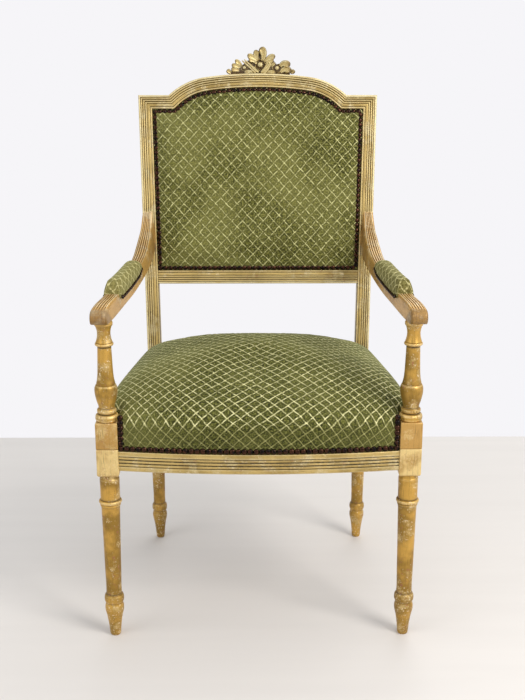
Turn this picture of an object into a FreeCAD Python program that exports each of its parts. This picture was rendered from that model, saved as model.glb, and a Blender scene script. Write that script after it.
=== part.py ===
import FreeCAD
import Part
import math
import os

# An open armchair of carved, reeded and gilded wood, upholstered on the seat, back and arms.
# Millimetres. X runs to the viewer's right, Y to the back of the chair and Z up.
# While it is built, Y = 0 is the axis of the front legs; the last step centres the chair on Y.

V = FreeCAD.Vector
X_AXIS, Y_AXIS, Z_AXIS = V(1, 0, 0), V(0, 1, 0), V(0, 0, 1)

# Legs and seat
FRONT_X = 266.5            # front leg axis from the middle plane
REAR_X = 217.5             # rear post axis from the middle plane
REAR_Y = 396.0             # rear post axis behind the front legs, at the seat rails
FRONT_BLOCK = 39.0         # square section of the front leg's block and the arm post's base
REAR_BLOCK = 36.0          # square section of the rear post at the rails
BLOCK_BOTTOM = 318.0       # the turned legs end here
FRONT_BLOCK_TOP = 370.0    # joint between the front leg and the arm post
POST_BASE_TOP = 418.0      # top of the arm post's square base
REAR_BLOCK_TOP = 395.0     # the stile begins here
REAR_LEG_SCALE = 0.9       # rear legs are turned thinner than the front ones
REAR_LEG_RAKE = 3.5        # degrees, foot to the back
RAIL_BOTTOM = 329.5
RAIL_MOULD_TOP = 365.5     # above it the rail is set back for the cover and its nails
RAIL_TOP = 385.0
RAIL_THICK = 24.0
RAIL_SETBACK = 5.0         # depth of that rebate
FRONT_RAIL_END_Y = -17.0   # outer face of the bowed front rail beside the blocks
FRONT_RAIL_MID_Y = -36.0   # and in the middle of the bow
SIDE_RAIL_INSET = 3.0      # outer face of a side rail inside the blocks' outer faces
TENON_THICK = 10.0
TENON_LOW, TENON_HIGH = 334.0, 352.0

# Arms
POST_TOP = 598.0           # underside of the arm over its post
POST_TENON_R = 8.0
POST_TENON_LONG = 14.0
ARM_TENON_R = 6.0
ARM_TENON_LONG = 16.0
PAD_REAR, PAD_FRONT = 254.0, 56.0
ARM_TOP = [                 # y and z of the top line, from the stile to the hand
    (446, 742), (433, 722), (411, 692), (385, 676), (339, 659),
    (300, 650), (249, 642), (150, 636), (38, 632), (-22, 627),
]
ARM_OUTER = [(236.5, 446), (244, 385), (248.5, 304), (254, 240), (262.5, 140), (271, 50), (278, 0), (284, -36)]
ARM_INNER = [               # x, y and z of the inner side's lower edge, and its lean outwards above it
    (256, -36, 598, 0.0), (252.5, -4, 598, 0.0), (247.5, 40, 599, -0.05), (239, 100, 604, 0.03),
    (231.5, 150, 609, 0.11), (224, 220, 615, 0.17), (218, 300, 624, 0.15), (214, 385, 637, 0.115),
    (211, 446, 668, 0.1),
]
PAD_SINK = 8.0             # the arm's top is cut down this far under its pad
PAD_LIP = 6.0              # the cover laps this far down the arm's sides
COVER = 1.6                # thickness of the woven cover with its wadding

# Back frame, in its own raked plane: U to the right, W up the back, N forward
RAKE = 9.5                 # degrees
STILE_FOOT_X = 230.4       # outer edge of a stile where it leaves the block
SHOULDER_X = 244.5         # outer edge of a stile at the top corner
SHOULDER_Z = 956.0
ARCH_Z = 999.0
ARCH_HALF_SPAN = 182.0
ARCH_START, ARCH_MIDDLE = 43.0, 8.0   # degrees of slope at the foot of the arch and at its middle arc
FRAME_THICK = 28.0
MOULDING = 28.0            # width of the reeded moulding
LEDGE = 11.0               # recessed ledge inside it that takes the cover and nails
LEDGE_DEPTH = 5.0
BACK_RAIL_Z = 576.0        # lower edge of the lower back rail
BACK_CROWN = 13.0          # how far the back's padding stands forward of the frame
CARVING_SHIFT = 6.0        # the crest carving stands a little right of the middle
CARVING_WIDE, CARVING_HIGH = 137.0, 50.0

# Seat padding
WEB_WIDE, WEB_THICK = 50.0, 1.2
HESSIAN = 0.8
SEAT_SIDE_Z, SEAT_CROWN_Z = 412.0, 503.0

BIG = 1500.0


def box(x0, x1, y0, y1, z0, z1):
    return Part.makeBox(x1 - x0, y1 - y0, z1 - z0, V(x0, y0, z0))


def half_space(point, normal):
    """Everything on the side of the point that the normal points to."""
    block = Part.makeBox(2 * BIG, 2 * BIG, BIG, V(-BIG, -BIG, 0))
    block.Placement = FreeCAD.Placement(point, FreeCAD.Rotation(Z_AXIS, normal))
    return block


def outline(start, steps, place):
    """A closed face from steps (a, b), by a straight line, or (am, bm, a, b), by an arc through (am, bm).

    place turns the pair into a point in space.
    """
    edges = []
    here = place(*start)
    for step in list(steps) + [start]:
        there = place(*step[-2:])
        if len(step) == 2:
            edges.append(Part.makeLine(here, there))
        else:
            edges.append(Part.Arc(here, place(*step[:2]), there).toShape())
        here = there
    return Part.Face(Part.Wire(edges))


def upright(shape):
    return shape if shape.Volume > 0 else shape.reversed()


def turned(bottom, steps, top):
    """A lathe-turned piece about Z: steps are radius and height."""
    face = outline((0, bottom), steps + [(0, top)], lambda r, z: V(r, 0, z))
    return upright(face.revolve(V(0, 0, 0), Z_AXIS, 360))


def bead(low, high, radius, swell):
    """Outline of a bead between two heights: three chords round a half ellipse. A negative swell is a cove."""
    chords = 3
    reach = swell / math.cos(math.pi / (2 * chords))
    turns = [math.pi * n / chords for n in range(chords + 1)]
    return [(radius + reach * math.sin(a), low + (high - low) * (1 - math.cos(a)) / 2) for a in turns]


def spline(points):
    curve = Part.BSplineCurve()
    curve.interpolate([V(*p) for p in points])
    return curve.toShape()


def mirrored(shape):
    return upright(shape.mirror(V(0, 0, 0), X_AXIS))


def one(shape):
    """The only solid of a finished piece, with split faces joined."""
    shape = shape.removeSplitter()
    return shape.Solids[0] if len(shape.Solids) == 1 else shape


def rounded_block(size, bottom, top, radius):
    """A square block whose lower edges are rounded over."""
    half = size / 2
    block = box(-half, half, -half, half, bottom, top)
    edges = [e for e in block.Edges if abs(e.BoundBox.ZMax - bottom) < 0.01]
    return block.makeFillet(radius, edges)


def turned_leg(scale, foot):
    """The turned leg below its block: peg foot, bulb, ring, long taper, ring and neck."""
    profile = [
        (8.8, foot),
        (9.6, 1.2),
        (11.9, 24),
        (14.3, 40),
        (17.3, 54),
        (16.9, 60.5),
        (15.4, 66),
        *bead(67.5, 82.5, 15.4, 2.4),
        (14.1, 86),
        (15.0, 167, 16.5, 248),
        *bead(255.5, 265.5, 17.5, 2.6),
        (17.5, 310),
        *bead(311, BLOCK_BOTTOM, 17.0, -0.9),
    ]
    steps = [tuple(v * scale if i % 2 == 0 else v for i, v in enumerate(step)) for step in profile]
    return turned(foot, steps, BLOCK_BOTTOM)


def post_tenon():
    return Part.makeCylinder(
        POST_TENON_R, POST_TENON_LONG, V(FRONT_X, 0, FRONT_BLOCK_TOP - POST_TENON_LONG), Z_AXIS
    )


def arm_tenon():
    return Part.makeCylinder(ARM_TENON_R, ARM_TENON_LONG, V(FRONT_X, 0, POST_TOP), Z_AXIS)


def front_rail_tenon():
    inner = FRONT_X - FRONT_BLOCK / 2
    return box(inner - 4, inner + 24, -11, -11 + TENON_THICK, TENON_LOW, TENON_HIGH)


def side_rail_tenons():
    """Front and rear tenons of the right side rail."""
    face = FRONT_BLOCK / 2
    rear_face = REAR_Y - REAR_BLOCK / 2
    front = box(FRONT_X + 2, FRONT_X + 2 + TENON_THICK, 0.5, face + 4, TENON_LOW, TENON_HIGH)
    rear = box(REAR_X - 5, REAR_X + 5, rear_face - 4, rear_face + 16, TENON_LOW, TENON_HIGH)
    return front, rear


def rear_rail_tenon():
    inner = REAR_X - REAR_BLOCK / 2
    return box(inner - 4, inner + 24, REAR_Y + 1, REAR_Y + 1 + TENON_THICK, TENON_LOW, TENON_HIGH)


def front_leg():
    leg = turned_leg(1.0, 0.0).fuse(rounded_block(FRONT_BLOCK, BLOCK_BOTTOM, FRONT_BLOCK_TOP, 4))
    leg.translate(V(FRONT_X, 0, 0))
    return one(leg.cut([front_rail_tenon(), side_rail_tenons()[0], post_tenon()]))


def arm_post():
    """The turned baluster on its square base, with a round tenon at each end."""
    half = FRONT_BLOCK / 2
    base = box(-half, half, -half, half, FRONT_BLOCK_TOP, POST_BASE_TOP)
    base = base.makeChamfer(1.2, [e for e in base.Edges if abs(e.BoundBox.ZMin - POST_BASE_TOP) < 0.01])
    profile = [
        (17.6, POST_BASE_TOP - 1),
        *bead(418.6, 430.4, 17.6, 3.0),
        (15.2, 432),
        *bead(433.4, 440.6, 15.2, 1.8),
        (14.3, 444.5),
        (18.2, 461),
        (20.1, 472),
        (20.1, 478),
        (17.0, 484.6),
        (16.4, 485.6),
        (14.3, 496),
        (13.3, 512),
        (12.5, 532, 12.0, 552),
        *bead(555, 567, 12.8, 3.2),
        (11.2, 573),
        (11.2, 580),
        (15.6, 591.5),
        (15.6, POST_TOP),
    ]
    baluster = turned(POST_BASE_TOP - 1, profile, POST_TOP)
    post = base.fuse(baluster)
    post.translate(V(FRONT_X, 0, 0))
    return one(post.fuse([post_tenon(), arm_tenon()]))


def rail_section(place, plain=False):
    """Section of a seat rail: depth inwards from the outer face, and height.

    The outer face has a flat band, three reeds and a flat band, with the cover's rebate above.
    """
    low, top, setback = RAIL_BOTTOM, RAIL_TOP, RAIL_SETBACK
    band, reed = 9.0, 6.0
    steps = []
    if not plain:
        steps += [(0, low + band)]
        for n in range(3):
            steps += bead(low + band + n * reed + 0.2, low + band + (n + 1) * reed - 0.2, 1.4, -1.4)
        steps += [(0, low + band + 3 * reed)]
    steps += [(0, RAIL_MOULD_TOP), (setback, RAIL_MOULD_TOP), (setback, top), (RAIL_THICK, top), (RAIL_THICK, low)]
    return outline((0, low), steps, place)


def bow_radius():
    sagitta = FRONT_RAIL_END_Y - FRONT_RAIL_MID_Y
    half_chord = FRONT_X - FRONT_BLOCK / 2
    return (half_chord**2 + sagitta**2) / (2 * sagitta)


def front_rail():
    radius = bow_radius()
    centre = V(0, FRONT_RAIL_MID_Y + radius, 0)
    inner = FRONT_X - FRONT_BLOCK / 2
    sweep = math.degrees(math.asin((inner + 6) / radius))
    face = rail_section(lambda d, z: V(0, FRONT_RAIL_MID_Y + d, z))
    face.rotate(centre, Z_AXIS, -sweep)
    rail = upright(face.revolve(centre, Z_AXIS, 2 * sweep))
    rail = rail.common(box(-inner, inner, -200, 200, 0, 500))
    tenon = front_rail_tenon()
    return one(rail.fuse([tenon, mirrored(tenon)]))


def side_rail_line():
    """Outer face of the right side rail in plan, from the front block to the rear post."""
    start = V(FRONT_X + FRONT_BLOCK / 2 - SIDE_RAIL_INSET, FRONT_BLOCK / 2, 0)
    end = V(REAR_X + REAR_BLOCK / 2 - SIDE_RAIL_INSET, REAR_Y - REAR_BLOCK / 2, 0)
    return start, end


def side_rail():
    start, end = side_rail_line()
    along = (end - start).normalize()
    inward = V(-along.y, along.x, 0)
    extra = 12.0
    origin = start - along * extra
    face = rail_section(lambda d, z: origin + inward * d + Z_AXIS * z)
    rail = face.extrude(along * ((end - start).Length + 2 * extra))
    rail = upright(rail).common(box(0, 400, start.y, end.y, 0, 500))
    return one(rail.fuse(list(side_rail_tenons())))


def rear_rail():
    inner = REAR_X - REAR_BLOCK / 2
    outer_y = REAR_Y + REAR_BLOCK / 2 - SIDE_RAIL_INSET
    face = rail_section(lambda d, z: V(-inner, outer_y - d, z), plain=True)
    rail = upright(face.extrude(X_AXIS * 2 * inner))
    tenon = rear_rail_tenon()
    return one(rail.fuse([tenon, mirrored(tenon)]))


def corner_block(corner, toward, reach, neighbours):
    """A triangular glue block that fills the inner corner of two rails and the leg's block."""
    a = V(corner[0], corner[1], 336)
    b = a + V(toward[0] * reach, 0, 0)
    c = a + V(0, toward[1] * reach, 0)
    prism = Part.Face(Part.makePolygon([a, b, c, a])).extrude(V(0, 0, 34))
    cut = upright(prism).common(seat_plan(-RAIL_THICK / 2, 300, 400)).cut(neighbours)
    return max(cut.Solids, key=lambda s: s.Volume)


def frame_plane(shape):
    """Move a shape from the back's own plane to its place in the chair."""
    placed = shape.copy()
    origin = V(0, REAR_Y - REAR_BLOCK / 2, REAR_BLOCK_TOP)
    placed.Placement = FreeCAD.Placement(origin, FreeCAD.Rotation(X_AXIS, 90 - RAKE)).multiply(
        placed.Placement
    )
    return placed


def up_back(z):
    """Distance W up the back of a point of the frame's front face at height z."""
    return (z - REAR_BLOCK_TOP) / math.cos(math.radians(RAKE))


def moulding_steps(thick, ledge):
    """Section of the back frame from its outer edge inwards: edge band, three reeds, flat, bead, ledge."""
    edge, reed, sink = 4.0, 4.3, 1.2
    steps = [(0, -1.6), (1.6, 0), (edge, 0)]
    for n in range(3):
        ridge = bead(edge + n * reed + 0.2, edge + (n + 1) * reed - 0.2, -sink, sink)
        steps += [(t, level) for level, t in ridge]
    flat = edge + 3 * reed
    steps += [(flat, -0.6), (23.4, -0.6)]
    steps += [(t, level) for level, t in bead(23.6, MOULDING, -sink, sink)]
    inner = MOULDING
    if ledge:
        inner = MOULDING + LEDGE
        steps += [(MOULDING, -LEDGE_DEPTH), (inner, -LEDGE_DEPTH)]
    return (0, -thick), steps + [(inner, -thick)]


def straight_member(start, end, inward, thick, ledge):
    """A moulded member of the back frame whose outer edge runs from start to end."""
    first, steps = moulding_steps(thick, ledge)
    face = outline(first, steps, lambda t, n: start + inward * t + Z_AXIS * n)
    return upright(face.extrude(end - start))


def curved_member(centre, radius, low, high):
    """A moulded member along an arc, from slope low to slope high in degrees, ledge on the centre's side."""
    first, steps = moulding_steps(FRAME_THICK, True)
    face = outline(first, steps, lambda t, n: centre + V(0, radius - t, n))
    face.rotate(centre, Z_AXIS, -high)
    return upright(face.revolve(centre, Z_AXIS, high - low))


def arch_arcs():
    """Centres and radii of the crest's middle arc and of its right-hand end arc, which meet in line."""
    foot, joint = math.radians(ARCH_START), math.radians(ARCH_MIDDLE)
    rise = up_back(ARCH_Z) - up_back(SHOULDER_Z)
    a1, b1, c1 = math.sin(joint), math.sin(foot) - math.sin(joint), ARCH_HALF_SPAN
    a2, b2, c2 = 1 - math.cos(joint), math.cos(joint) - math.cos(foot), rise
    end_radius = (a1 * c2 - a2 * c1) / (a1 * b2 - a2 * b1)
    middle_radius = (c1 - b1 * end_radius) / a1
    middle = V(0, up_back(ARCH_Z) - middle_radius, 0)
    gap = middle_radius - end_radius
    end = middle + V(gap * math.sin(joint), gap * math.cos(joint), 0)
    return middle, middle_radius, end, end_radius


def stile_edge(w):
    """U of the right stile's outer edge at W."""
    return STILE_FOOT_X + (SHOULDER_X - STILE_FOOT_X) * w / up_back(SHOULDER_Z)


def corner_mitre():
    """Point and upward normal of the mitre between the right stile and the crest rail."""
    corner = V(SHOULDER_X, up_back(SHOULDER_Z), 0)
    edge = (corner - V(STILE_FOOT_X, 0, 0)).normalize()
    inward = (V(-edge.y, edge.x, 0) + V(0, -1, 0)).normalize()
    return corner, V(-inward.y, inward.x, 0) * -1


def corner_tenon():
    """Tenon of the right stile in the crest rail, behind the mitre."""
    top = up_back(SHOULDER_Z) - 7
    return box(SHOULDER_X - 26, SHOULDER_X - 12, top - 30, top, -19, -10)


def crest_rail():
    middle, middle_radius, end, end_radius = arch_arcs()
    shoulder = up_back(SHOULDER_Z)
    corner, up = corner_mitre()
    foot = V(ARCH_HALF_SPAN, shoulder, 0)
    half = math.radians(ARCH_START / 2)
    along = V(math.cos(half), -math.sin(half), 0)
    flat = straight_member(V(SHOULDER_X + 40, shoulder, 0), V(140, shoulder, 0), V(0, -1, 0), FRAME_THICK, True)
    flat = flat.cut(half_space(foot, along * -1)).common(half_space(corner, up))
    arc = curved_member(end, end_radius, ARCH_MIDDLE, ARCH_START + 14).cut(half_space(foot, along))
    crown = curved_member(middle, middle_radius, -ARCH_MIDDLE, ARCH_MIDDLE)
    rail = crown.fuse([flat, arc, mirrored(flat), mirrored(arc)])
    tenon = corner_tenon()
    return one(rail.cut([tenon, mirrored(tenon)]))


def back_rail_parts():
    """The lower back rail and its right tenon, in the back's plane."""
    low = up_back(BACK_RAIL_Z)
    rail = straight_member(V(-300, low, 0), V(300, low, 0), V(0, 1, 0), FRAME_THICK - 4, True)
    edge = V(SHOULDER_X - STILE_FOOT_X, up_back(SHOULDER_Z), 0).normalize()
    outward = V(edge.y, -edge.x, 0)
    foot = V(stile_edge(low), low, 0) - outward * MOULDING
    stop = half_space(foot, outward)
    rail = rail.cut([stop, mirrored(stop)])
    tenon = box(foot.x - 6, foot.x + 19, low + 8, low + 32, -17, -8)
    return rail, tenon


def back_rail():
    rail, tenon = back_rail_parts()
    return one(rail.fuse([tenon, mirrored(tenon)]))


def stile():
    """The raked and outward-leaning stile, with its ledge above the lower back rail."""
    corner, up = corner_mitre()
    foot = V(STILE_FOOT_X, 0, 0)
    edge = (corner - foot).normalize()
    inward = V(-edge.y, edge.x, 0)
    long = straight_member(foot - edge * 20, corner + edge * 60, inward, FRAME_THICK, False)
    with_ledge = straight_member(foot, corner + edge * 60, inward, FRAME_THICK, True)
    ledge_foot = up_back(BACK_RAIL_Z) + MOULDING + LEDGE
    with_ledge = with_ledge.common(half_space(V(0, ledge_foot, 0), Y_AXIS))
    member = long.fuse(with_ledge).cut(half_space(corner, up))
    member = member.fuse(corner_tenon())
    return member.cut(back_rail_parts()[1])


def rear_post():
    """Rear leg, block and stile in one length of wood."""
    leg = turned_leg(REAR_LEG_SCALE, -6.0)
    leg.rotate(V(0, 0, BLOCK_BOTTOM + 12), X_AXIS, REAR_LEG_RAKE)
    leg.translate(V(REAR_X, REAR_Y, 0))
    leg = leg.common(box(0, 400, 200, 600, 0, BLOCK_BOTTOM + 4))
    block = rounded_block(REAR_BLOCK, BLOCK_BOTTOM, REAR_BLOCK_TOP, 4)
    block.translate(V(REAR_X, REAR_Y, 0))
    upper = frame_plane(stile()).common(box(0, 400, 200, 700, REAR_BLOCK_TOP - 8, 1100))
    post = block.fuse([leg, upper])
    return one(post.cut([side_rail_tenons()[1], rear_rail_tenon(), arm_rear_tenon()]))


def arm_top_curve():
    """Top line of the arm in side view: it springs from the stile and sweeps forward to the hand."""
    return spline([(0, y, z) for y, z in ARM_TOP])


def arm_side_face():
    """Side outline of the arm, which rolls over in front of its post."""
    roll = Part.Arc(V(0, -22, 627), V(0, -42, 612), V(0, -28, POST_TOP)).toShape()
    under = Part.makeLine(V(0, -28, POST_TOP), V(0, 20, POST_TOP))
    points = [(20, POST_TOP), (100, 604), (184, 612), (284, 622), (345, 629), (386, 637), (412, 650), (430, 668)]
    bottom = spline([(0, y, z) for y, z in points])
    rear = Part.makePolygon([V(0, 430, 668), V(0, 446, 668), V(0, 446, 742)]).Edges
    return Part.Face(Part.Wire([arm_top_curve(), roll, under, bottom] + rear))


def arm_plan_wire(spread, z):
    """Plan outline of the right arm at height z, widened by spread on both sides."""
    outer = [(x + spread, y, z) for x, y in ARM_OUTER]
    inner = [(x + lean * (z - low) - spread, y, z) for x, y, low, lean in ARM_INNER]
    nose = Part.Arc(V(*outer[-1]), V(273, -46, z), V(*inner[0])).toShape()
    end = Part.makeLine(V(*inner[-1]), V(*outer[0]))
    return Part.Wire([spline(outer), nose, spline(inner), end])


def arm_plan(spread):
    """The arm's plan as a tall solid. Its inner side leans, so that the top is narrower at the stile."""
    return upright(Part.makeLoft([arm_plan_wire(spread, z) for z in (560, 745)], True, True))


def arm_rear_tenon():
    """Tenon of the right arm in the front of its stile, square to the back."""
    low = up_back(668)
    return frame_plane(box(stile_edge(low) - 20, stile_edge(low) - 8, low, low + 34, -14, 3))


def arm_body():
    side = upright(arm_side_face().extrude(X_AXIS * 400))
    front = V(0, REAR_Y - REAR_BLOCK / 2, REAR_BLOCK_TOP)
    lean = math.radians(RAKE)
    behind = half_space(front, V(0, math.cos(lean), -math.sin(lean)))
    return side.common(arm_plan(0)).cut(behind)


def pad_zone(lift):
    """The space in the pad's length above the arm's top line, raised by lift."""
    sill = Part.makePolygon([V(0, -22, 627), V(0, -22, 500), V(0, 446, 500), V(0, 446, 742)]).Edges
    face = Part.Face(Part.Wire([arm_top_curve()] + sill))
    face.translate(V(0, 0, lift))
    below = upright(face.extrude(X_AXIS * 400))
    return box(200, 320, PAD_FRONT, PAD_REAR, 560, 720).cut(below)


def arm():
    body = arm_body().cut(pad_zone(-PAD_SINK))
    return one(body.fuse(arm_rear_tenon()).cut(arm_tenon()))


def pad_crown(drop):
    """Region under the pad's curved top, lowered by drop: full in front and thinner to the back."""
    low, front, rear = 560.0, PAD_FRONT, PAD_REAR
    face = outline(
        (front, low),
        [(front, 635 - drop), (front + 3, 645 - drop, front + 14, 650 - drop),
         (155, 657 - drop, rear - 50, 653 - drop), (rear - 20, 649 - drop, rear, 642 - drop), (rear, low)],
        lambda y, z: V(0, y, z),
    )
    return upright(face.extrude(X_AXIS * 400))


def arm_pad():
    """Stuffing and cover of the right arm's pad. The cover laps down both sides of the arm."""
    rebate = pad_zone(-PAD_SINK)
    core = arm_plan(0).common(rebate).common(pad_crown(COVER))
    stuffing = core.common(box(200, 320, PAD_FRONT + COVER, PAD_REAR - COVER, 560, 720))
    outer = arm_plan(COVER).common(pad_crown(0))
    cover = outer.common(pad_zone(-PAD_SINK - PAD_LIP)).cut([arm(), stuffing])
    return one(stuffing), one(cover)


def seat_plan(offset, low, high):
    """Upright prism over the seat frame's outer faces, moved out by offset."""
    radius = bow_radius()
    start, end = side_rail_line()
    along = (end - start).normalize()
    outward = V(along.y, -along.x, 0)
    reach = FRONT_RAIL_MID_Y - offset
    side_front = start + outward * offset - along * 60
    side_rear = end + outward * offset + along * 60
    rear_y = REAR_Y + REAR_BLOCK / 2 - SIDE_RAIL_INSET + offset
    prism = Part.Face(Part.makePolygon([
        V(-side_front.x, side_front.y, low), side_front + Z_AXIS * low, side_rear + Z_AXIS * low,
        V(-side_rear.x, side_rear.y, low), V(-side_front.x, side_front.y, low),
    ])).extrude(Z_AXIS * (high - low))
    disc = Part.makeCylinder(radius + offset, high - low, V(0, reach + radius + offset, low), Z_AXIS)
    return upright(prism).common(disc).common(box(-400, 400, -200, rear_y, low, high))


def seat_crown(drop):
    """Region under the seat's crowned top, lowered by drop: a roll at the sides, front and rear."""
    side, crown = SEAT_SIDE_Z - drop, SEAT_CROWN_Z - drop

    def across(half, y):
        face = outline(
            (-half, 300),
            [(-half, side), (-half + 5, side + 26), (-half + 20, side + 49), (-half + 48, crown - 27),
             (0, crown, half - 48, crown - 27), (half - 20, side + 49), (half - 5, side + 26), (half, side),
             (half, 300)],
            lambda x, z: V(x, y, z),
        )
        return face.OuterWire

    spread = upright(Part.makeLoft([across(287, -60), across(228, 430)], True, True))
    face = outline(
        (-70, 300),
        [(-70, 388 - drop), (-45, 388 - drop), (-33, 420 - drop, 5, 446 - drop),
         (200, SEAT_CROWN_Z - drop, 350, 474 - drop), (398, 452 - drop, 420, 405 - drop), (420, 300)],
        lambda y, z: V(-400, y, z),
    )
    return spread.common(upright(face.extrude(X_AXIS * 800)))


def notches():
    """Square notches in the seat's layers for the arm posts and the rear posts.

    Above its base an arm post swells out, and the notch is a little wider there.
    """
    half, swell = FRONT_BLOCK / 2, 1.6
    front = box(FRONT_X - half, 400, -200, half, 300, POST_BASE_TOP)
    above = box(FRONT_X - half - swell, 400, -200, half + swell, POST_BASE_TOP, 600)
    rear = box(REAR_X - REAR_BLOCK / 2, 400, REAR_Y - REAR_BLOCK / 2 - 2, 600, 300, 600)
    return [front, mirrored(front), above, mirrored(above), rear, mirrored(rear)]


def seat_layers():
    """Webbing, hessian, stuffing and cover of the seat, from the rails up."""
    corners = notches()
    low = RAIL_TOP
    base = low + 2 * WEB_THICK + HESSIAN
    inside = seat_plan(-9.0, 300, 500).cut(corners)
    half = WEB_WIDE / 2
    strips = straps(5, 400, lambda x: box(x - half, x + half, -100, 500, low, low + WEB_THICK))
    strips += straps(
        4, 320, lambda y: box(-400, 400, 195 + y - half, 195 + y + half, low + WEB_THICK, low + 2 * WEB_THICK)
    )
    webbing = []
    for strip in strips:
        webbing += strip.common(inside).Solids
    sacking = seat_plan(-7.0, base - HESSIAN, base).cut(corners)
    stuffing = seat_plan(-5.0, base, 560).common(seat_crown(COVER)).cut(corners)
    skin = seat_plan(-5.0 + COVER, RAIL_MOULD_TOP + 0.5, 560).common(seat_crown(0)).cut(corners)
    skin = skin.cut([seat_plan(-5.0, 300, base), stuffing])
    return Part.makeCompound(webbing), one(sacking), one(stuffing), one(skin)


def straps(count, span, place):
    """Parallel webbing straps spaced evenly over a span."""
    pitch = span / count
    return [place((n + 0.5) * pitch - span / 2) for n in range(count)]


def panel(inset, low, high):
    """Flat panel of the back's outline, inset from the frame's outer edge, between two N levels."""
    middle, middle_radius, end, end_radius = arch_arcs()
    shoulder, foot = up_back(SHOULDER_Z), up_back(BACK_RAIL_Z)
    s, c = math.sin(math.radians(ARCH_MIDDLE)), math.cos(math.radians(ARCH_MIDDLE))
    half = math.radians(ARCH_START / 2)
    w_top = shoulder - inset
    r1, r2 = end_radius - inset, middle_radius - inset
    drop = end.y - w_top
    corner_u = end.x + math.sqrt(r1**2 - drop**2)
    joint = V(middle.x + r2 * s, middle.y + r2 * c, 0)
    lean = math.radians((ARCH_START + ARCH_MIDDLE) / 2)
    mid_end = V(end.x + r1 * math.sin(lean), end.y + r1 * math.cos(lean), 0)
    top_u = stile_edge(w_top) - inset
    low_u = stile_edge(foot) - inset
    half_face = [
        (low_u, foot + inset), (top_u, w_top), (corner_u, w_top),
        (mid_end.x, mid_end.y, joint.x, joint.y),
        (0, middle.y + r2, -joint.x, joint.y),
        (-mid_end.x, mid_end.y, -corner_u, w_top),
        (-top_u, w_top), (-low_u, foot + inset),
    ]
    face = outline(half_face[0], half_face[1:], lambda u, w: V(u, w, low))
    return upright(face.extrude(Z_AXIS * (high - low)))


def back_crown(drop):
    """Region behind the back pad's bulging front."""
    low, edge, crown = -60.0, -1.5 - drop, BACK_CROWN - drop
    foot, top = up_back(BACK_RAIL_Z), up_back(ARCH_Z)
    across = outline(
        (-260, low), [(-260, edge - 4), (-215, edge - 1), (-205, crown * 0.62, -170, crown * 0.86),
                      (0, crown, 170, crown * 0.86), (205, crown * 0.62, 215, edge - 1), (260, edge - 4), (260, low)],
        lambda u, n: V(u, -50, n),
    )
    up = outline(
        (foot, low), [(foot, edge - 4), (foot + 27, edge - 1), (foot + 37, crown * 0.62, foot + 72, crown * 0.86),
                      ((foot + top) / 2, crown, top - 72, crown * 0.86), (top - 37, crown * 0.62, top - 27, edge - 1),
                      (top + 40, edge - 4), (top + 40, low)],
        lambda w, n: V(-300, w, n),
    )
    return upright(across.extrude(Y_AXIS * 800)).common(upright(up.extrude(X_AXIS * 600)))


def back_layers():
    """Webbing, hessian, stuffing, front cover and outside cover of the back."""
    seat = -LEDGE_DEPTH
    web, sack = seat + 2 * WEB_THICK, seat + 2 * WEB_THICK + HESSIAN
    foot, top = up_back(BACK_RAIL_Z), up_back(ARCH_Z)
    half = WEB_WIDE / 2
    middle = (foot + top) / 2
    upright_straps = straps(3, 330, lambda u: box(u - half, u + half, 0, top, seat, seat + WEB_THICK))
    level_straps = straps(
        3, 300, lambda w: box(-300, 300, middle + w - half, middle + w + half, seat + WEB_THICK, web)
    )
    inside = panel(MOULDING + 4, seat, web)
    webbing = []
    for strap in upright_straps + level_straps:
        webbing += strap.common(inside).Solids
    sacking = panel(MOULDING + 3, web, sack)
    stuffing = panel(MOULDING + 2, sack, 40).common(back_crown(COVER))
    cover = panel(MOULDING + 0.4, seat, 40).common(back_crown(0)).cut(panel(MOULDING + 2, seat - 1, sack))
    cover = cover.cut(stuffing)
    outside = panel(16, -FRAME_THICK - COVER, -FRAME_THICK)
    return Part.makeCompound(webbing), one(sacking), one(stuffing), one(cover), one(outside)


def carving_blank():
    """Blank of the crest ornament: a tall middle bloom, a bloom each side and trailing leaf tips."""
    base = up_back(ARCH_Z) - 12
    tip, bloom, middle_half = CARVING_WIDE / 2, 40.0, 24.0
    rise = CARVING_HIGH + 10

    def lobes(side):
        return [
            (side * tip * 0.93, base + 17, side * 55, base + 21),
            (side * 50, base + 36, side * bloom, base + 38),
            (side * 30, base + 37, side * middle_half, base + 32),
        ]

    right = lobes(1)
    left = [
        (-30, base + 37, -bloom, base + 38),
        (-50, base + 36, -55, base + 21),
        (-tip * 0.93, base + 17, -tip, base + 8),
    ]
    steps = [(tip, base + 8)] + right + [(0, base + rise + 3, -middle_half, base + 32)] + left + [(-tip, base)]
    face = outline((tip, base), steps, lambda u, w: V(u + CARVING_SHIFT, w, -22))
    return upright(face.extrude(Z_AXIS * 20))


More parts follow.
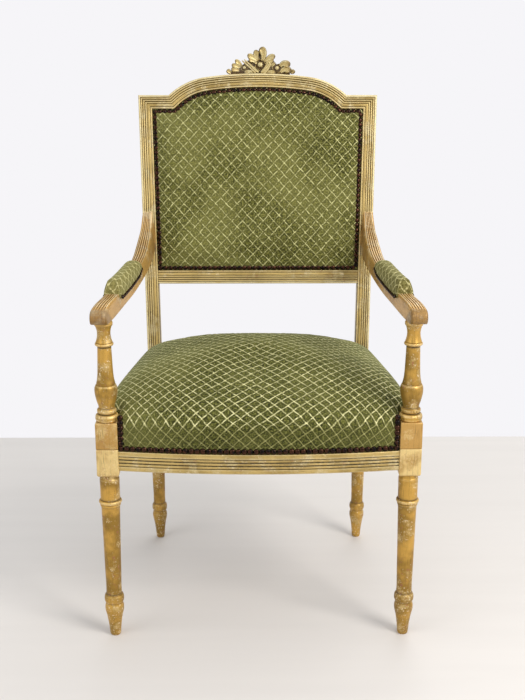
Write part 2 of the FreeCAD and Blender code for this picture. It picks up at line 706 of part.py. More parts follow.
def build():
    """All the pieces by name."""
    leg, post, rear = front_leg(), arm_post(), rear_post()
    front, side, back = front_rail(), side_rail(), rear_rail()
    stuffing_arm, cover_arm = arm_pad()
    crest = frame_plane(crest_rail())
    pairs = {
        "front_leg": leg,
        "arm_post": post,
        "rear_post": rear,
        "side_seat_rail": side,
        "arm": arm(),
        "arm_pad_stuffing": stuffing_arm,
        "arm_pad_cover": cover_arm,
    }
    pieces = {}
    for name, shape in pairs.items():
        pieces[name + "_right"] = shape
        pieces[name + "_left"] = mirrored(shape)
    pieces["front_seat_rail"] = front
    pieces["rear_seat_rail"] = back
    pieces["crest_rail"] = crest
    pieces["lower_back_rail"] = frame_plane(back_rail())
    pieces["crest_carving"] = frame_plane(carving_blank()).cut(crest)

    inner_front = corner_block((FRONT_X + 8, -30), (-1, 1), 124, [leg, front, side])
    inner_rear = corner_block((REAR_X + 14, REAR_Y + 12), (-1, -1), 84, [rear, back, side])
    for place, block in (("front", inner_front), ("rear", inner_rear)):
        pieces["corner_block_" + place + "_right"] = block
        pieces["corner_block_" + place + "_left"] = mirrored(block)

    for name, shape in zip(("webbing", "hessian", "stuffing", "cover"), seat_layers()):
        pieces["seat_" + name] = shape
    names = ("back_webbing", "back_hessian", "back_stuffing", "back_cover", "back_outside_cover")
    for name, shape in zip(names, back_layers()):
        pieces[name] = frame_plane(shape)
    return pieces


def main():
    pieces = build()
    bounds = [shape.optimalBoundingBox(False) for shape in pieces.values()]
    low = min(bound.YMin for bound in bounds)
    high = max(bound.YMax for bound in bounds)
    os.makedirs("parts", exist_ok=True)
    for name, shape in pieces.items():
        shape.translate(V(0, -(low + high) / 2, 0))
        shape.exportStep("parts/" + name + ".step")


main()
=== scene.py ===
"""Looks of an open armchair: worn gilding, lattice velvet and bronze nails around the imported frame."""

import logging
import math
from dataclasses import dataclass, field
from enum import Enum

import bpy
import numpy as np
from mathutils import Euler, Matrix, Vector


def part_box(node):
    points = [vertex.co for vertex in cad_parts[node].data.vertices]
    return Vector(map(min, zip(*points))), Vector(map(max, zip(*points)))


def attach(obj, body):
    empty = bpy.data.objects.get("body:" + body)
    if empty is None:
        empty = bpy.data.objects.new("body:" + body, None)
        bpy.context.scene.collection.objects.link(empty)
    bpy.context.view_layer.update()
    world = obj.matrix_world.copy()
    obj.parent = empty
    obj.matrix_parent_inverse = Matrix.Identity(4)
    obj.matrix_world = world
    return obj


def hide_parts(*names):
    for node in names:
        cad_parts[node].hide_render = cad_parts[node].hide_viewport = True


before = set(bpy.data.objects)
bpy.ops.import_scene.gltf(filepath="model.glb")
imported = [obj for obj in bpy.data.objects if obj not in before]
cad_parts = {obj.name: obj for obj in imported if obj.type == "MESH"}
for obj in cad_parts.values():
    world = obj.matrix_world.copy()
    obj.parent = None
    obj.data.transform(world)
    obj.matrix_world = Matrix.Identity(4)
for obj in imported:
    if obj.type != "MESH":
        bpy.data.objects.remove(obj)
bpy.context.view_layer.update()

log = logging.getLogger("armchair")

MM = 0.001
X_AXIS, Y_AXIS, Z_AXIS = np.eye(3)
FLIP = np.array([-1.0, 1.0])
PLAIN = 0.3
Line = tuple[tuple[float, float], ...]


class Side(Enum):
    """Side of the chair as the viewer sees it, with the sign of its X."""

    LEFT = -1
    RIGHT = 1

    @property
    def word(self) -> str:
        """The side's name as the frame's nodes use it."""
        return self.name.lower()


def front_leg_line() -> float:
    """Y of the front legs' axis in the frame, in millimetres."""
    low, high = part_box("front_leg_right")
    return (low.y + high.y) / 2 / MM


@dataclass(frozen=True)
class Layout:
    """Driving sizes in millimetres. Y = 0 is the axis of the front legs."""

    axis_y: float = field(default_factory=front_leg_line)
    front_x: float = 266.5
    rear_x: float = 217.5
    rear_y: float = 396.0
    front_block: float = 39.0
    rear_block: float = 36.0
    block_bottom: float = 318.0
    block_joint: float = 370.0
    post_base_top: float = 418.0
    rear_block_top: float = 395.0
    rail_bottom: float = 329.5
    rail_moulded: float = 365.5
    rail_top: float = 385.0
    rail_thick: float = 24.0
    rail_end_y: float = -17.0
    rail_middle_y: float = -36.0
    rake: float = 9.5
    stile_foot_x: float = 230.4
    shoulder_x: float = 244.5
    shoulder_z: float = 956.0
    arch_z: float = 999.0
    arch_half: float = 182.0
    arch_slopes: tuple[float, float] = (43.0, 8.0)
    frame_thick: float = 28.0
    moulding: float = 28.0
    ledge: float = 11.0
    ledge_deep: float = 5.0
    back_rail_z: float = 576.0
    post_top: float = 598.0

    def to_row(self, points: np.ndarray) -> np.ndarray:
        """Millimetres in the chair's own place to metres in the frame.

        Args:
            points: array of points, last axis x, y, z.
        Returns:
            The same points in the frame.
        """
        return (points + np.array([0.0, self.axis_y, 0.0])) * MM

    def up_back(self, z: float) -> float:
        """Distance up the back's raked plane of a point of its front face at height z."""
        return (z - self.rear_block_top) / math.cos(math.radians(self.rake))

    def from_back(self, local: np.ndarray) -> np.ndarray:
        """Points (u right, w up, n forward) of the back's raked plane to the chair's place.

        Args:
            local: array of points, last axis u, w, n.
        Returns:
            The points as x, y, z: origin + u X + w (up the rake) + n (square to it).
        """
        lean = math.radians(self.rake)
        up = np.array([0.0, math.sin(lean), math.cos(lean)])
        forward = np.array([0.0, -math.cos(lean), math.sin(lean)])
        origin = np.array([0.0, self.rear_y - self.rear_block / 2, self.rear_block_top])
        return origin + local[..., :1] * X_AXIS + local[..., 1:2] * up + local[..., 2:3] * forward

    def stile_edge(self, w: float) -> float:
        """U of the right stile's outer edge at w."""
        return self.stile_foot_x + (self.shoulder_x - self.stile_foot_x) * w / self.up_back(self.shoulder_z)


@dataclass
class Shell:
    """One closed surface: points in millimetres, blocks of faces with their UV, and a recess value per point."""

    points: np.ndarray
    faces: list[np.ndarray]
    uvs: list[np.ndarray]
    recess: np.ndarray

    def volume(self) -> float:
        """Signed volume: the sum over the faces' fans of a . (b x c) / 6.

        Returns:
            Cubic millimetres, negative when the faces point inwards.
        """
        total = 0.0
        for block in self.faces:
            first = self.points[block[:, 0]]
            for corner in range(1, block.shape[1] - 1):
                second, third = self.points[block[:, corner]], self.points[block[:, corner + 1]]
                total += float(np.einsum("ij,ij->", first, np.cross(second, third)))
        return total / 6

    def outward(self) -> "Shell":
        """The same shell with its faces pointing outwards.

        Returns:
            This shell, or one with every face turned round.
        """
        if self.volume() >= 0:
            return self
        faces = [block[:, ::-1] for block in self.faces]
        uvs = [uv[:, ::-1] for uv in self.uvs]
        return Shell(self.points, faces, uvs, self.recess)

    def moved(self, x: float, y: float) -> "Shell":
        """The shell set off by x and y."""
        return Shell(self.points + np.array([x, y, 0.0]), self.faces, self.uvs, self.recess)

    def mirrored(self) -> "Shell":
        """The shell on the other side of the chair."""
        return Shell(self.points * np.array([-1.0, 1.0, 1.0]), self.faces, self.uvs, self.recess).outward()


def lengths(points: np.ndarray) -> np.ndarray:
    """Distance along a line of points from its first one: the running sum of the steps' lengths."""
    steps = np.linalg.norm(np.diff(points, axis=0), axis=1)
    return np.concatenate([[0.0], np.cumsum(steps)])


def ring_shell(grid: np.ndarray, recess: np.ndarray | None = None, uv: np.ndarray | None = None) -> Shell:
    """A closed shell from rings of points, with a flat cap at each end.

    Face (i, j) joins points (i, j), (i, j+1), (i+1, j+1) and (i+1, j), and j runs round the ring.

    Args:
        grid: points by station and by place in the ring.
        recess: 0 on a ridge to 1 in a groove, for each place in the ring or each grid point.
        uv: metres along and across for each station and ring place, with one more place than the ring.
    Returns:
        The shell.
    """
    stations, ring = grid.shape[:2]
    if uv is None:
        along = lengths(grid.mean(axis=1))
        across = lengths(np.vstack([grid[stations // 2], grid[stations // 2, :1]]))
        uv = np.stack(np.meshgrid(along, across, indexing="ij"), axis=-1) * MM
    shade = np.zeros((stations, ring)) if recess is None else np.broadcast_to(recess, (stations, ring))
    i, j = np.meshgrid(np.arange(stations - 1), np.arange(ring), indexing="ij")
    i, j = i.ravel(), j.ravel()
    k = (j + 1) % ring
    quads = np.stack([i * ring + j, i * ring + k, (i + 1) * ring + k, (i + 1) * ring + j], axis=1)
    quad_uv = np.stack([uv[i, j], uv[i, j + 1], uv[i + 1, j + 1], uv[i + 1, j]], axis=1)
    first = np.arange(ring)[::-1][None]
    last = (np.arange(ring) + (stations - 1) * ring)[None]
    caps = [first, last]
    cap_uv = [uv[0, :ring][::-1][None], uv[-1, :ring][None]]
    return Shell(grid.reshape(-1, 3), [quads, *caps], [quad_uv, *cap_uv], shade.ravel().astype(float)).outward()


def smooth_line(points: Line, count: int) -> np.ndarray:
    """A smooth line through points: cubic pieces whose slope at a point is that of its two neighbours.

    Args:
        points: pairs to pass through.
        count: number of points of the result.
    Returns:
        Evenly stepped points on the line.
    """
    knots = np.asarray(points, float)
    place = lengths(knots)
    slope = np.gradient(knots, place, axis=0)
    at = np.linspace(0, place[-1], count)
    piece = np.clip(np.searchsorted(place, at, side="right") - 1, 0, len(knots) - 2)
    step = (place[piece + 1] - place[piece])[:, None]
    t = (at - place[piece])[:, None] / step
    start = (2 * t**3 - 3 * t**2 + 1) * knots[piece] + (t**3 - 2 * t**2 + t) * slope[piece] * step
    return start + (3 * t**2 - 2 * t**3) * knots[piece + 1] + (t**3 - t**2) * slope[piece + 1] * step


def bead(low: float, high: float, level: float, swell: float, count: int = 9) -> np.ndarray:
    """Half ellipse from (level, low) to (level, high) that swells by that much. A negative swell is a cove."""
    a = np.linspace(0, math.pi, count)
    return np.stack([level + swell * np.sin(a), low + (high - low) * (1 - np.cos(a)) / 2], axis=1)


def closed_line(points: np.ndarray, spacing: float) -> np.ndarray:
    """A closed line of points set at even steps, as near the spacing as goes round it evenly.

    Args:
        points: the line's corners, without the first again at the end.
        spacing: the wished step.
    Returns:
        An array of points.
    """
    loop = np.vstack([points, points[:1]])
    place = lengths(loop)
    count = max(3, round(place[-1] / spacing))
    at = np.linspace(0, place[-1], count, endpoint=False)
    return np.stack([np.interp(at, place, loop[:, k]) for k in range(loop.shape[1])], axis=1)


def open_line(points: np.ndarray, spacing: float) -> np.ndarray:
    """Points at even steps on an open line, both its ends among them.

    Args:
        points: the line's corners.
        spacing: the wished step.
    Returns:
        An array of points.
    """
    place = lengths(points)
    count = max(2, round(place[-1] / spacing) + 1)
    at = np.linspace(0, place[-1], count)
    return np.stack([np.interp(at, place, points[:, k]) for k in range(points.shape[1])], axis=1)


@dataclass(frozen=True)
class Sock:
    """A node's output socket with arithmetic: each operator adds one Math node."""

    tree: bpy.types.NodeTree
    out: bpy.types.NodeSocket

    def _math(self, operation: str, first: "Sock | float", second: "Sock | float") -> "Sock":
        """A Math node on two values.

        Args:
            operation: the Math node's operation.
            first: its first value.
            second: its second value.
        Returns:
            The node's output.
        """
        node = self.tree.nodes.new("ShaderNodeMath")
        node.operation = operation
        for socket, value in zip(node.inputs, (first, second)):
            if isinstance(value, Sock):
                self.tree.links.new(value.out, socket)
            else:
                socket.default_value = value
        return Sock(self.tree, node.outputs[0])

    def __add__(self, other: "Sock | float") -> "Sock":
        """Sum."""
        return self._math("ADD", self, other)

    def __radd__(self, other: float) -> "Sock":
        """Sum with a number first."""
        return self._math("ADD", other, self)

    def __sub__(self, other: "Sock | float") -> "Sock":
        """Difference."""
        return self._math("SUBTRACT", self, other)

    def __rsub__(self, other: float) -> "Sock":
        """Difference from a number."""
        return self._math("SUBTRACT", other, self)

    def __mul__(self, other: "Sock | float") -> "Sock":
        """Product."""
        return self._math("MULTIPLY", self, other)

    def __rmul__(self, other: float) -> "Sock":
        """Product with a number first."""
        return self._math("MULTIPLY", other, self)

    def ping(self) -> "Sock":
        """Distance to the nearest whole number: the absolute of the value less its rounding."""
        return self._math("ABSOLUTE", self - self._math("ROUND", self, 0.0), 0.0)

    def top(self, other: "Sock | float") -> "Sock":
        """The larger of two values."""
        return self._math("MAXIMUM", self, other)

    def step(self, low: float, high: float) -> "Sock":
        """Smooth step: 0 below low, 1 above high. With low above high it falls instead.

        Args:
            low: where the step starts.
            high: where it ends.
        Returns:
            The node's output.
        """
        node = self.tree.nodes.new("ShaderNodeMapRange")
        node.interpolation_type = "SMOOTHSTEP"
        self.tree.links.new(self.out, node.inputs["Value"])
        ends = (low, high, 0.0, 1.0) if low < high else (high, low, 1.0, 0.0)
        for name, value in zip(("From Min", "From Max", "To Min", "To Max"), ends):
            node.inputs[name].default_value = value
        return Sock(self.tree, node.outputs[0])


Colour = tuple[float, float, float]


def srgb(red: int, green: int, blue: int) -> Colour:
    """Linear colour of a display colour given as 0 to 255."""

    def one(value: int) -> float:
        """One channel, by the display curve's power and its straight foot."""
        share = value / 255
        return share / 12.92 if share <= 0.04045 else ((share + 0.055) / 1.055) ** 2.4

    return one(red), one(green), one(blue)


class Graph:
    """A node tree under construction: adds nodes and wires them."""

    def __init__(self, tree: bpy.types.NodeTree) -> None:
        """Keeps the tree that the nodes go in."""
        self.tree = tree

    def node(self, kind: str, settings: dict | None = None, sockets: dict | None = None, out: int | str = 0) -> Sock:
        """Any node.

        Args:
            kind: the node's type without its ShaderNode prefix.
            settings: properties set first.
            sockets: values or links by input name or number.
            out: the output wanted.
        Returns:
            That output.
        """
        node = self.tree.nodes.new("ShaderNode" + kind)
        for name, value in (settings or {}).items():
            setattr(node, name, value)
        for name, value in (sockets or {}).items():
            if isinstance(value, Sock):
                self.tree.links.new(value.out, node.inputs[name])
            else:
                node.inputs[name].default_value = value
        return Sock(self.tree, node.outputs[out])


class Paint(Graph):
    """A material under construction."""

    def __init__(self, name: str) -> None:
        """A new material with its shader.

        Args:
            name: the material's name.
        """
        self.material = bpy.data.materials.new(name)
        self.material.use_nodes = True
        super().__init__(self.material.node_tree)
        self.shader = self.tree.nodes["Principled BSDF"]
        self.output = self.tree.nodes["Material Output"]

    def noise(self, vector: Sock, scale: float, detail: float = 3.0, rough: float = 0.55) -> Sock:
        """Noise value at a scale in cells a metre."""
        sockets = {"Vector": vector, "Scale": scale, "Detail": detail, "Roughness": rough}
        return self.node("TexNoise", None, sockets, "Fac")

    def mix(self, share: Sock | float, first: Sock | Colour, second: Sock | Colour) -> Sock:
        """Blend of two colours: share 0 gives the first."""
        made = [value if isinstance(value, Sock) else (*value, 1.0) for value in (first, second)]
        return self.node("Mix", {"data_type": "RGBA"}, {0: share, 6: made[0], 7: made[1]}, 2)

    def part(self, vector: Sock, axis: str) -> Sock:
        """One part of a vector: X, Y or Z."""
        return self.node("SeparateXYZ", None, {"Vector": vector}, axis)

    def where(self) -> Sock:
        """Object coordinates in metres."""
        return self.node("TexCoord", None, None, "Object")

    def grain(self) -> Sock:
        """The UV map in metres."""
        return self.node("UVMap", {"uv_map": "grain"}, None, "UV")

    def stretched(self, vector: Sock, scale: tuple[float, float, float]) -> Sock:
        """A vector scaled along each axis."""
        return self.node("Mapping", None, {"Vector": vector, "Scale": scale})

    def set(self, **values: Sock | float | Colour) -> None:
        """Sets shader sockets: names with underscores for spaces.

        Args:
            values: a link, a number or a colour for each socket.
        """
        for name, value in values.items():
            socket = self.shader.inputs[name.replace("_", " ")]
            if isinstance(value, Sock):
                self.tree.links.new(value.out, socket)
            elif isinstance(value, tuple) and len(value) == 3:
                socket.default_value = (*value, 1.0)
            else:
                socket.default_value = value

    def bump(self, height: Sock, distance: float, strength: float = 1.0) -> None:
        """Bump from a height of 0 to 1 that stands for a distance in metres."""
        made = self.node("Bump", None, {"Height": height, "Distance": distance, "Strength": strength})
        self.set(Normal=made)


@dataclass(frozen=True)
class Gilding:
    """Worn gilding over gesso: gold, grime and painted shade in the recesses, rubbed ridges with a painted highlight,
    chips to gesso and bole.
    """

    name: str
    gold: Colour
    deep: Colour
    bright: Colour
    # Dark colour for grime streaks and specks, and for painted shade in the recesses.
    tarnish_and_shade: Colour = srgb(78, 62, 24)
    gesso: Colour = srgb(232, 214, 178)
    bole: Colour = srgb(150, 96, 60)
    chips: float = 0.5
    rubbed: float = 0.3
    metal: float = 0.5
    low_tone: Colour | None = None

    def material(self) -> bpy.types.Material:
        """The finish as a node material.

        Returns:
            The material.
        """
        paint = Paint(self.name)
        where = paint.where()
        groove = paint.node("Attribute", {"attribute_name": "recess"}, None, "Fac")
        along = paint.grain()
        clouds = paint.noise(where, 19.0, 3.0, 0.6)
        patches = paint.noise(where, 38.0, 4.0, 0.62)
        specks = paint.noise(where, 300.0, 3.0, 0.6)
        fine = paint.noise(where, 620.0, 2.0, 0.6)
        streaks = paint.noise(paint.stretched(along, (22.0, 420.0, 1.0)), 1.0, 3.0, 0.6)
        height = paint.part(where, "Z")
        colour = paint.mix(clouds.step(0.38, 0.60), self.gold, self.deep)
        if self.low_tone is not None:
            below = height.step(0.3706, 0.3694) * clouds.step(0.68, 0.50)
            colour = paint.mix(below * 0.95, colour, self.low_tone)
        colour = paint.mix(patches.step(0.50, 0.68) * 0.5, colour, self.bright)
        colour = paint.mix(streaks.step(0.54, 0.72) * 0.45, colour, self.tarnish_and_shade)
        # Rubbed ridges, partly wear and partly a painted highlight: a low recess takes the bright colour.
        ridge = groove.step(0.22, 0.02) * streaks.step(0.30, 0.52)
        colour = paint.mix(ridge * self.rubbed, colour, self.bright)
        chip = specks.step(0.585, 0.635) * patches.step(0.46, 0.58).top(height.step(0.10, 0.05) * 0.8)
        colour = paint.mix(chip * self.chips, colour, self.gesso)
        flake = paint.noise(where, 120.0, 3.0, 0.65).step(0.61, 0.66) * clouds.step(0.40, 0.56)
        colour = paint.mix(flake * self.chips, colour, self.bole)
        # Painted shade: the recess attribute darkens grooves, coves and hollows towards the dark colour and takes metal
        # away there. This is partly grime and partly painted shade.
        shade = groove.step(0.40, 0.82) * (0.62 + 0.38 * specks.step(0.34, 0.52))
        colour = paint.mix(shade, colour, self.tarnish_and_shade)
        colour = paint.mix(fine.step(0.58, 0.70) * 0.35, colour, self.tarnish_and_shade)
        worn = chip.top(flake)
        paint.set(Base_Color=colour, Metallic=self.metal * (1.0 - worn) * (1.0 - shade))
        paint.set(Roughness=0.30 + 0.26 * patches + 0.22 * worn, Specular_IOR_Level=0.45)
        paint.bump(0.5 * specks + 0.3 * fine - 0.7 * worn, 0.0005, 0.55)
        return paint.material


@dataclass(frozen=True)
class LatticeVelvet:
    """Cut velvet: a mottled pile crossed by raised pale threads that make diamonds on the UV map.

    The share kept is what rubbed threads still show, turn tilts the diamonds, and below a given height the threads and
    the pile are painted in shade. The pile is also painted darker beside each thread.
    """

    name: str
    cell: tuple[float, float] = (0.0216, 0.0232)
    thread: float = 0.09
    pile: Colour = srgb(91, 90, 35)
    pile_light: Colour = srgb(146, 143, 82)
    # Dark pile of the mottling, also used for the painted shade beside the threads and low on the seat.
    pile_dark_and_shade: Colour = srgb(42, 43, 10)
    line: Colour = srgb(204, 200, 140)
    # Colour of worn threads, also used for threads painted in shade low on the seat.
    line_worn_and_shaded: Colour = srgb(140, 136, 76)
    waver: float = 0.0045
    kept: float = 0.32
    turn: float = 0.0
    # Height below which the pile and threads are painted in shade, or None.
    shaded_below: float | None = None

    def material(self) -> bpy.types.Material:
        """The finish as a node material.

        Returns:
            The material.
        """
        paint = Paint(self.name)
        flat = paint.grain()
        where = paint.where()
        drift = paint.node("TexNoise", None, {"Vector": flat, "Scale": 58.0, "Detail": 2.0}, "Color")
        drift = paint.node("VectorMath", {"operation": "SUBTRACT"}, {0: drift, 1: (0.5, 0.5, 0.5)})
        drift = paint.node("VectorMath", {"operation": "SCALE"}, {0: drift, "Scale": self.waver})
        moved = paint.node("VectorMath", {"operation": "ADD"}, {0: flat, 1: drift})
        along_x, along_y = paint.part(moved, "X"), paint.part(moved, "Y")
        across = along_x + along_y * self.turn
        up = along_y - along_x * self.turn
        wide, tall = self.cell
        first = (across * (1.0 / wide) + up * (1.0 / tall)).ping()
        second = (across * (1.0 / wide) - up * (1.0 / tall)).ping()
        one, two = (value.step(self.thread, self.thread * 0.3) for value in (first, second))
        threads = one.top(two)
        crossing = one * two
        # Painted shade: the pile darkens in a band beside each raised thread.
        beside = [value.step(self.thread * 3.4, self.thread * 1.5) for value in (first, second)]
        shade_beside_threads = beside[0].top(beside[1])
        tuft = paint.noise(flat, 330.0, 2.0, 0.6)
        mottle = paint.noise(flat, 215.0, 2.0, 0.6)
        broad = paint.noise(where, 6.0, 2.0)
        wear = paint.noise(flat, 150.0, 3.0, 0.7)
        patch = paint.noise(flat, 14.0, 2.0, 0.5)
        colour = paint.mix(mottle.step(0.40, 0.58), self.pile_dark_and_shade, self.pile)
        colour = paint.mix(tuft.step(0.50, 0.62) * 0.75, colour, self.pile_light)
        colour = paint.mix(shade_beside_threads * 0.4, colour, self.pile_dark_and_shade)
        colour = paint.mix(broad.step(0.40, 0.66) * 0.3, colour, self.pile_light)
        bright = paint.mix(wear.step(0.38, 0.60), self.line_worn_and_shaded, self.line)
        whole = self.kept + (0.92 - self.kept) * wear.step(0.38, 0.60)
        seen = threads * whole * (0.72 + 0.28 * patch.step(0.36, 0.52))
        knots = crossing * wear.step(0.34, 0.52) * 0.75
        # Painted shade low on the piece: below a height the threads are painted duller and the pile darker, for the
        # seat's front wall in shade.
        if self.shaded_below is not None:
            lit = paint.part(where, "Z").step(self.shaded_below - 0.010, self.shaded_below + 0.008)
            bright = paint.mix(lit, self.line_worn_and_shaded, bright)
            seen, knots = seen * (0.72 + 0.28 * lit), knots * (0.4 + 0.6 * lit)
            colour = paint.mix((1.0 - lit) * 0.2, colour, self.pile_dark_and_shade)
        colour = paint.mix(seen, colour, bright)
        colour = paint.mix(knots, colour, self.line)
        paint.set(Base_Color=colour, Roughness=0.88 - 0.38 * seen, Metallic=0.25 * seen, Specular_IOR_Level=0.2)
        paint.set(Sheen_Weight=0.25, Sheen_Roughness=0.4, Sheen_Tint=srgb(200, 206, 150))
        paint.bump(0.75 * threads + 0.4 * tuft + 0.2 * mottle, 0.0009, 0.8)
        return paint.material


@dataclass(frozen=True)
class Bronze:
    """Darkened dome nails with a dull shine."""

    name: str
    metal: Colour = srgb(66, 38, 22)
    dark: Colour = srgb(16, 9, 6)

    def material(self) -> bpy.types.Material:
        """The finish as a node material.

        Returns:
            The material.
        """
        paint = Paint(self.name)
        where = paint.where()
        spots = paint.noise(where, 130.0, 2.0)
        colour = paint.mix(spots.step(0.36, 0.62), self.dark, self.metal)
        paint.set(Base_Color=colour, Metallic=0.8, Roughness=0.16 + 0.16 * spots)
        paint.bump(paint.noise(where, 900.0, 2.0), 0.0002, 0.3)
        return paint.material


@dataclass(frozen=True)
class PlainWeave:
    """A plain weave of threads on the UV map: two crossed wave trains with a colour of their own."""

    name: str
    warp: Colour
    weft: Colour
    pitch: float = 0.0016
    gap: Colour = srgb(60, 48, 30)

    def material(self) -> bpy.types.Material:
        """The finish as a node material.

        Returns:
            The material.
        """
        paint = Paint(self.name)
        flat = paint.grain()
        across, up = (paint.part(flat, axis) * (1.0 / self.pitch) for axis in "XY")
        over = ((across + up) * 0.5).ping().step(0.2, 0.3)
        gaps = across.ping().step(0.34, 0.48).top(up.ping().step(0.34, 0.48))
        slub = paint.noise(paint.stretched(flat, (60.0, 700.0, 1.0)), 1.0, 3.0)
        colour = paint.mix(over, self.warp, self.weft)
        colour = paint.mix(slub.step(0.42, 0.66) * 0.4, colour, self.gap)
        colour = paint.mix(gaps * 0.7, colour, self.gap)
        paint.set(Base_Color=colour, Roughness=0.92, Specular_IOR_Level=0.15)
        paint.bump(over * 0.4 + (1.0 - gaps) * 0.6, 0.0005, 0.8)
        return paint.material


@dataclass(frozen=True)
class BareBeech:
    """Sawn beech left bare inside the seat frame."""

    name: str
    light: Colour = srgb(176, 136, 96)
    dark: Colour = srgb(122, 86, 54)

    def material(self) -> bpy.types.Material:
        """The finish as a node material.

        Returns:
            The material.
        """
        paint = Paint(self.name)
        where = paint.where()
        grain = paint.noise(paint.stretched(where, (30.0, 30.0, 420.0)), 1.0, 4.0)
        flecks = paint.noise(paint.stretched(where, (160.0, 160.0, 900.0)), 1.0, 2.0)
        colour = paint.mix(grain.step(0.36, 0.66), self.light, self.dark)
        colour = paint.mix(flecks.step(0.58, 0.68) * 0.5, colour, self.dark)
        paint.set(Base_Color=colour, Roughness=0.78, Specular_IOR_Level=0.3)
        paint.bump(0.6 * grain + 0.4 * flecks, 0.0004, 0.6)
        return paint.material


class Finishes:
    """The chair's materials, made once each."""

    def __init__(self) -> None:
        """Makes every finish."""
        self.frame = Gilding(
            "gilded_moulding",
            srgb(197, 169, 104),
            srgb(168, 142, 82),
            srgb(230, 214, 166),
            tarnish_and_shade=srgb(58, 46, 18),
            rubbed=0.85,
            chips=0.45,
        ).material()
        self.turning = Gilding(
            "gilded_turning",
            srgb(200, 156, 72),
            srgb(148, 114, 44),
            srgb(236, 206, 142),
            tarnish_and_shade=srgb(84, 64, 24),
            rubbed=0.6,
            chips=0.8,
        ).material()
        self.block = Gilding(
            "gilded_block",
            srgb(194, 152, 84),
            srgb(180, 140, 74),
            srgb(232, 206, 144),
            rubbed=0.7,
            chips=0.35,
            low_tone=srgb(227, 199, 135),
        ).material()
        self.arm = Gilding(
            "rubbed_arm",
            srgb(206, 162, 90),
            srgb(178, 136, 74),
            srgb(236, 218, 176),
            tarnish_and_shade=srgb(84, 58, 30),
            rubbed=0.85,
            chips=0.4,
        ).material()
        self.carving = Gilding(
            "gilded_carving",
            srgb(188, 166, 108),
            srgb(140, 116, 64),
            srgb(224, 214, 168),
            tarnish_and_shade=srgb(72, 50, 22),
            rubbed=0.85,
            chips=0.3,
            metal=0.35,
        ).material()
        self.velvet = LatticeVelvet("lattice_velvet").material()
        self.seat_velvet = LatticeVelvet(
            "seat_velvet",
            thread=0.105,
            pile=srgb(82, 83, 30),
            pile_light=srgb(136, 134, 74),
            pile_dark_and_shade=srgb(36, 38, 8),
            line=srgb(226, 220, 164),
            line_worn_and_shaded=srgb(158, 154, 92),
            kept=0.5,
            turn=-0.055,
            # Painted shade on the seat's front wall, below this height.
            shaded_below=0.414,
        ).material()
        self.pad_velvet = LatticeVelvet(
            "pad_velvet",
            thread=0.13,
            pile=srgb(122, 114, 62),
            pile_light=srgb(148, 140, 84),
            pile_dark_and_shade=srgb(84, 76, 32),
            line=srgb(214, 204, 146),
            line_worn_and_shaded=srgb(176, 166, 108),
            waver=0.006,
            cell=(0.0200, 0.0270),
        ).material()
        self.bronze = Bronze("bronze_nails").material()
        self.jute = PlainWeave("jute_webbing", srgb(150, 122, 80), srgb(126, 98, 60), pitch=0.0022).material()
        self.hessian = PlainWeave("hessian", srgb(168, 142, 98), srgb(150, 124, 82), pitch=0.0018).material()
        self.outside = PlainWeave(
            "outside_cloth", srgb(104, 108, 54), srgb(88, 92, 42), pitch=0.0011, gap=srgb(50, 52, 22)
        ).material()
        self.beech = BareBeech("bare_beech").material()


def make_piece(name: str, shells: list[Shell], material: bpy.types.Material, layout: Layout) -> bpy.types.Object:
    """A mesh object from closed shells, at the origin, with its place in its mesh.

    Args:
        name: the piece's name.
        shells: closed shells in millimetres.
        material: its finish.
        layout: the chair's sizes.
    Returns:
        The object, riding on the frame's only body.
    """
    offsets = np.cumsum([0] + [len(shell.points) for shell in shells])
    points = np.vstack([shell.points for shell in shells])
    blocks = [block + start for shell, start in zip(shells, offsets) for block in shell.faces]
    faces = [row for block in blocks for row in block.tolist()]
    uv = np.vstack([block.reshape(-1, 2) for shell in shells for block in shell.uvs])
    mesh = bpy.data.meshes.new(name)
    mesh.from_pydata(layout.to_row(points).tolist(), [], faces)
    mesh.uv_layers.new(name="grain").uv.foreach_set("vector", uv.astype(np.float32).ravel())
    recess = mesh.attributes.new("recess", "FLOAT", "POINT")
    recess.data.foreach_set("value", np.concatenate([shell.recess for shell in shells]).astype(np.float32))
    mesh.polygons.foreach_set("use_smooth", np.ones(len(mesh.polygons), bool))
    mesh.set_sharp_from_angle(angle=math.radians(48))
    mesh.materials.append(material)
    mesh.update()
    piece = bpy.data.objects.new(name, mesh)
    bpy.context.scene.collection.objects.link(piece)
    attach(piece, "root")
    log.info("%s: %d faces", name, len(mesh.polygons))
    return piece


def stretch(piece: bpy.types.Object, cut: np.ndarray) -> None:
    """Logs the size of a sheet stretched over a frame.

    Its flat size is the cut's width and length, and its area comes from the shoelace formula.

    Args:
        piece: the sheet.
        cut: the cut's outline in metres, in order.
    """
    width, length = (float(value) for value in np.ptp(cut, axis=0))
    after = np.roll(cut, -1, axis=0)
    area = 0.5 * abs(float(np.dot(cut[:, 0], after[:, 1]) - np.dot(cut[:, 1], after[:, 0])))
    log.info("%s flat %.3f x %.3f m, area %.4f m2", piece.name, width, length, area)


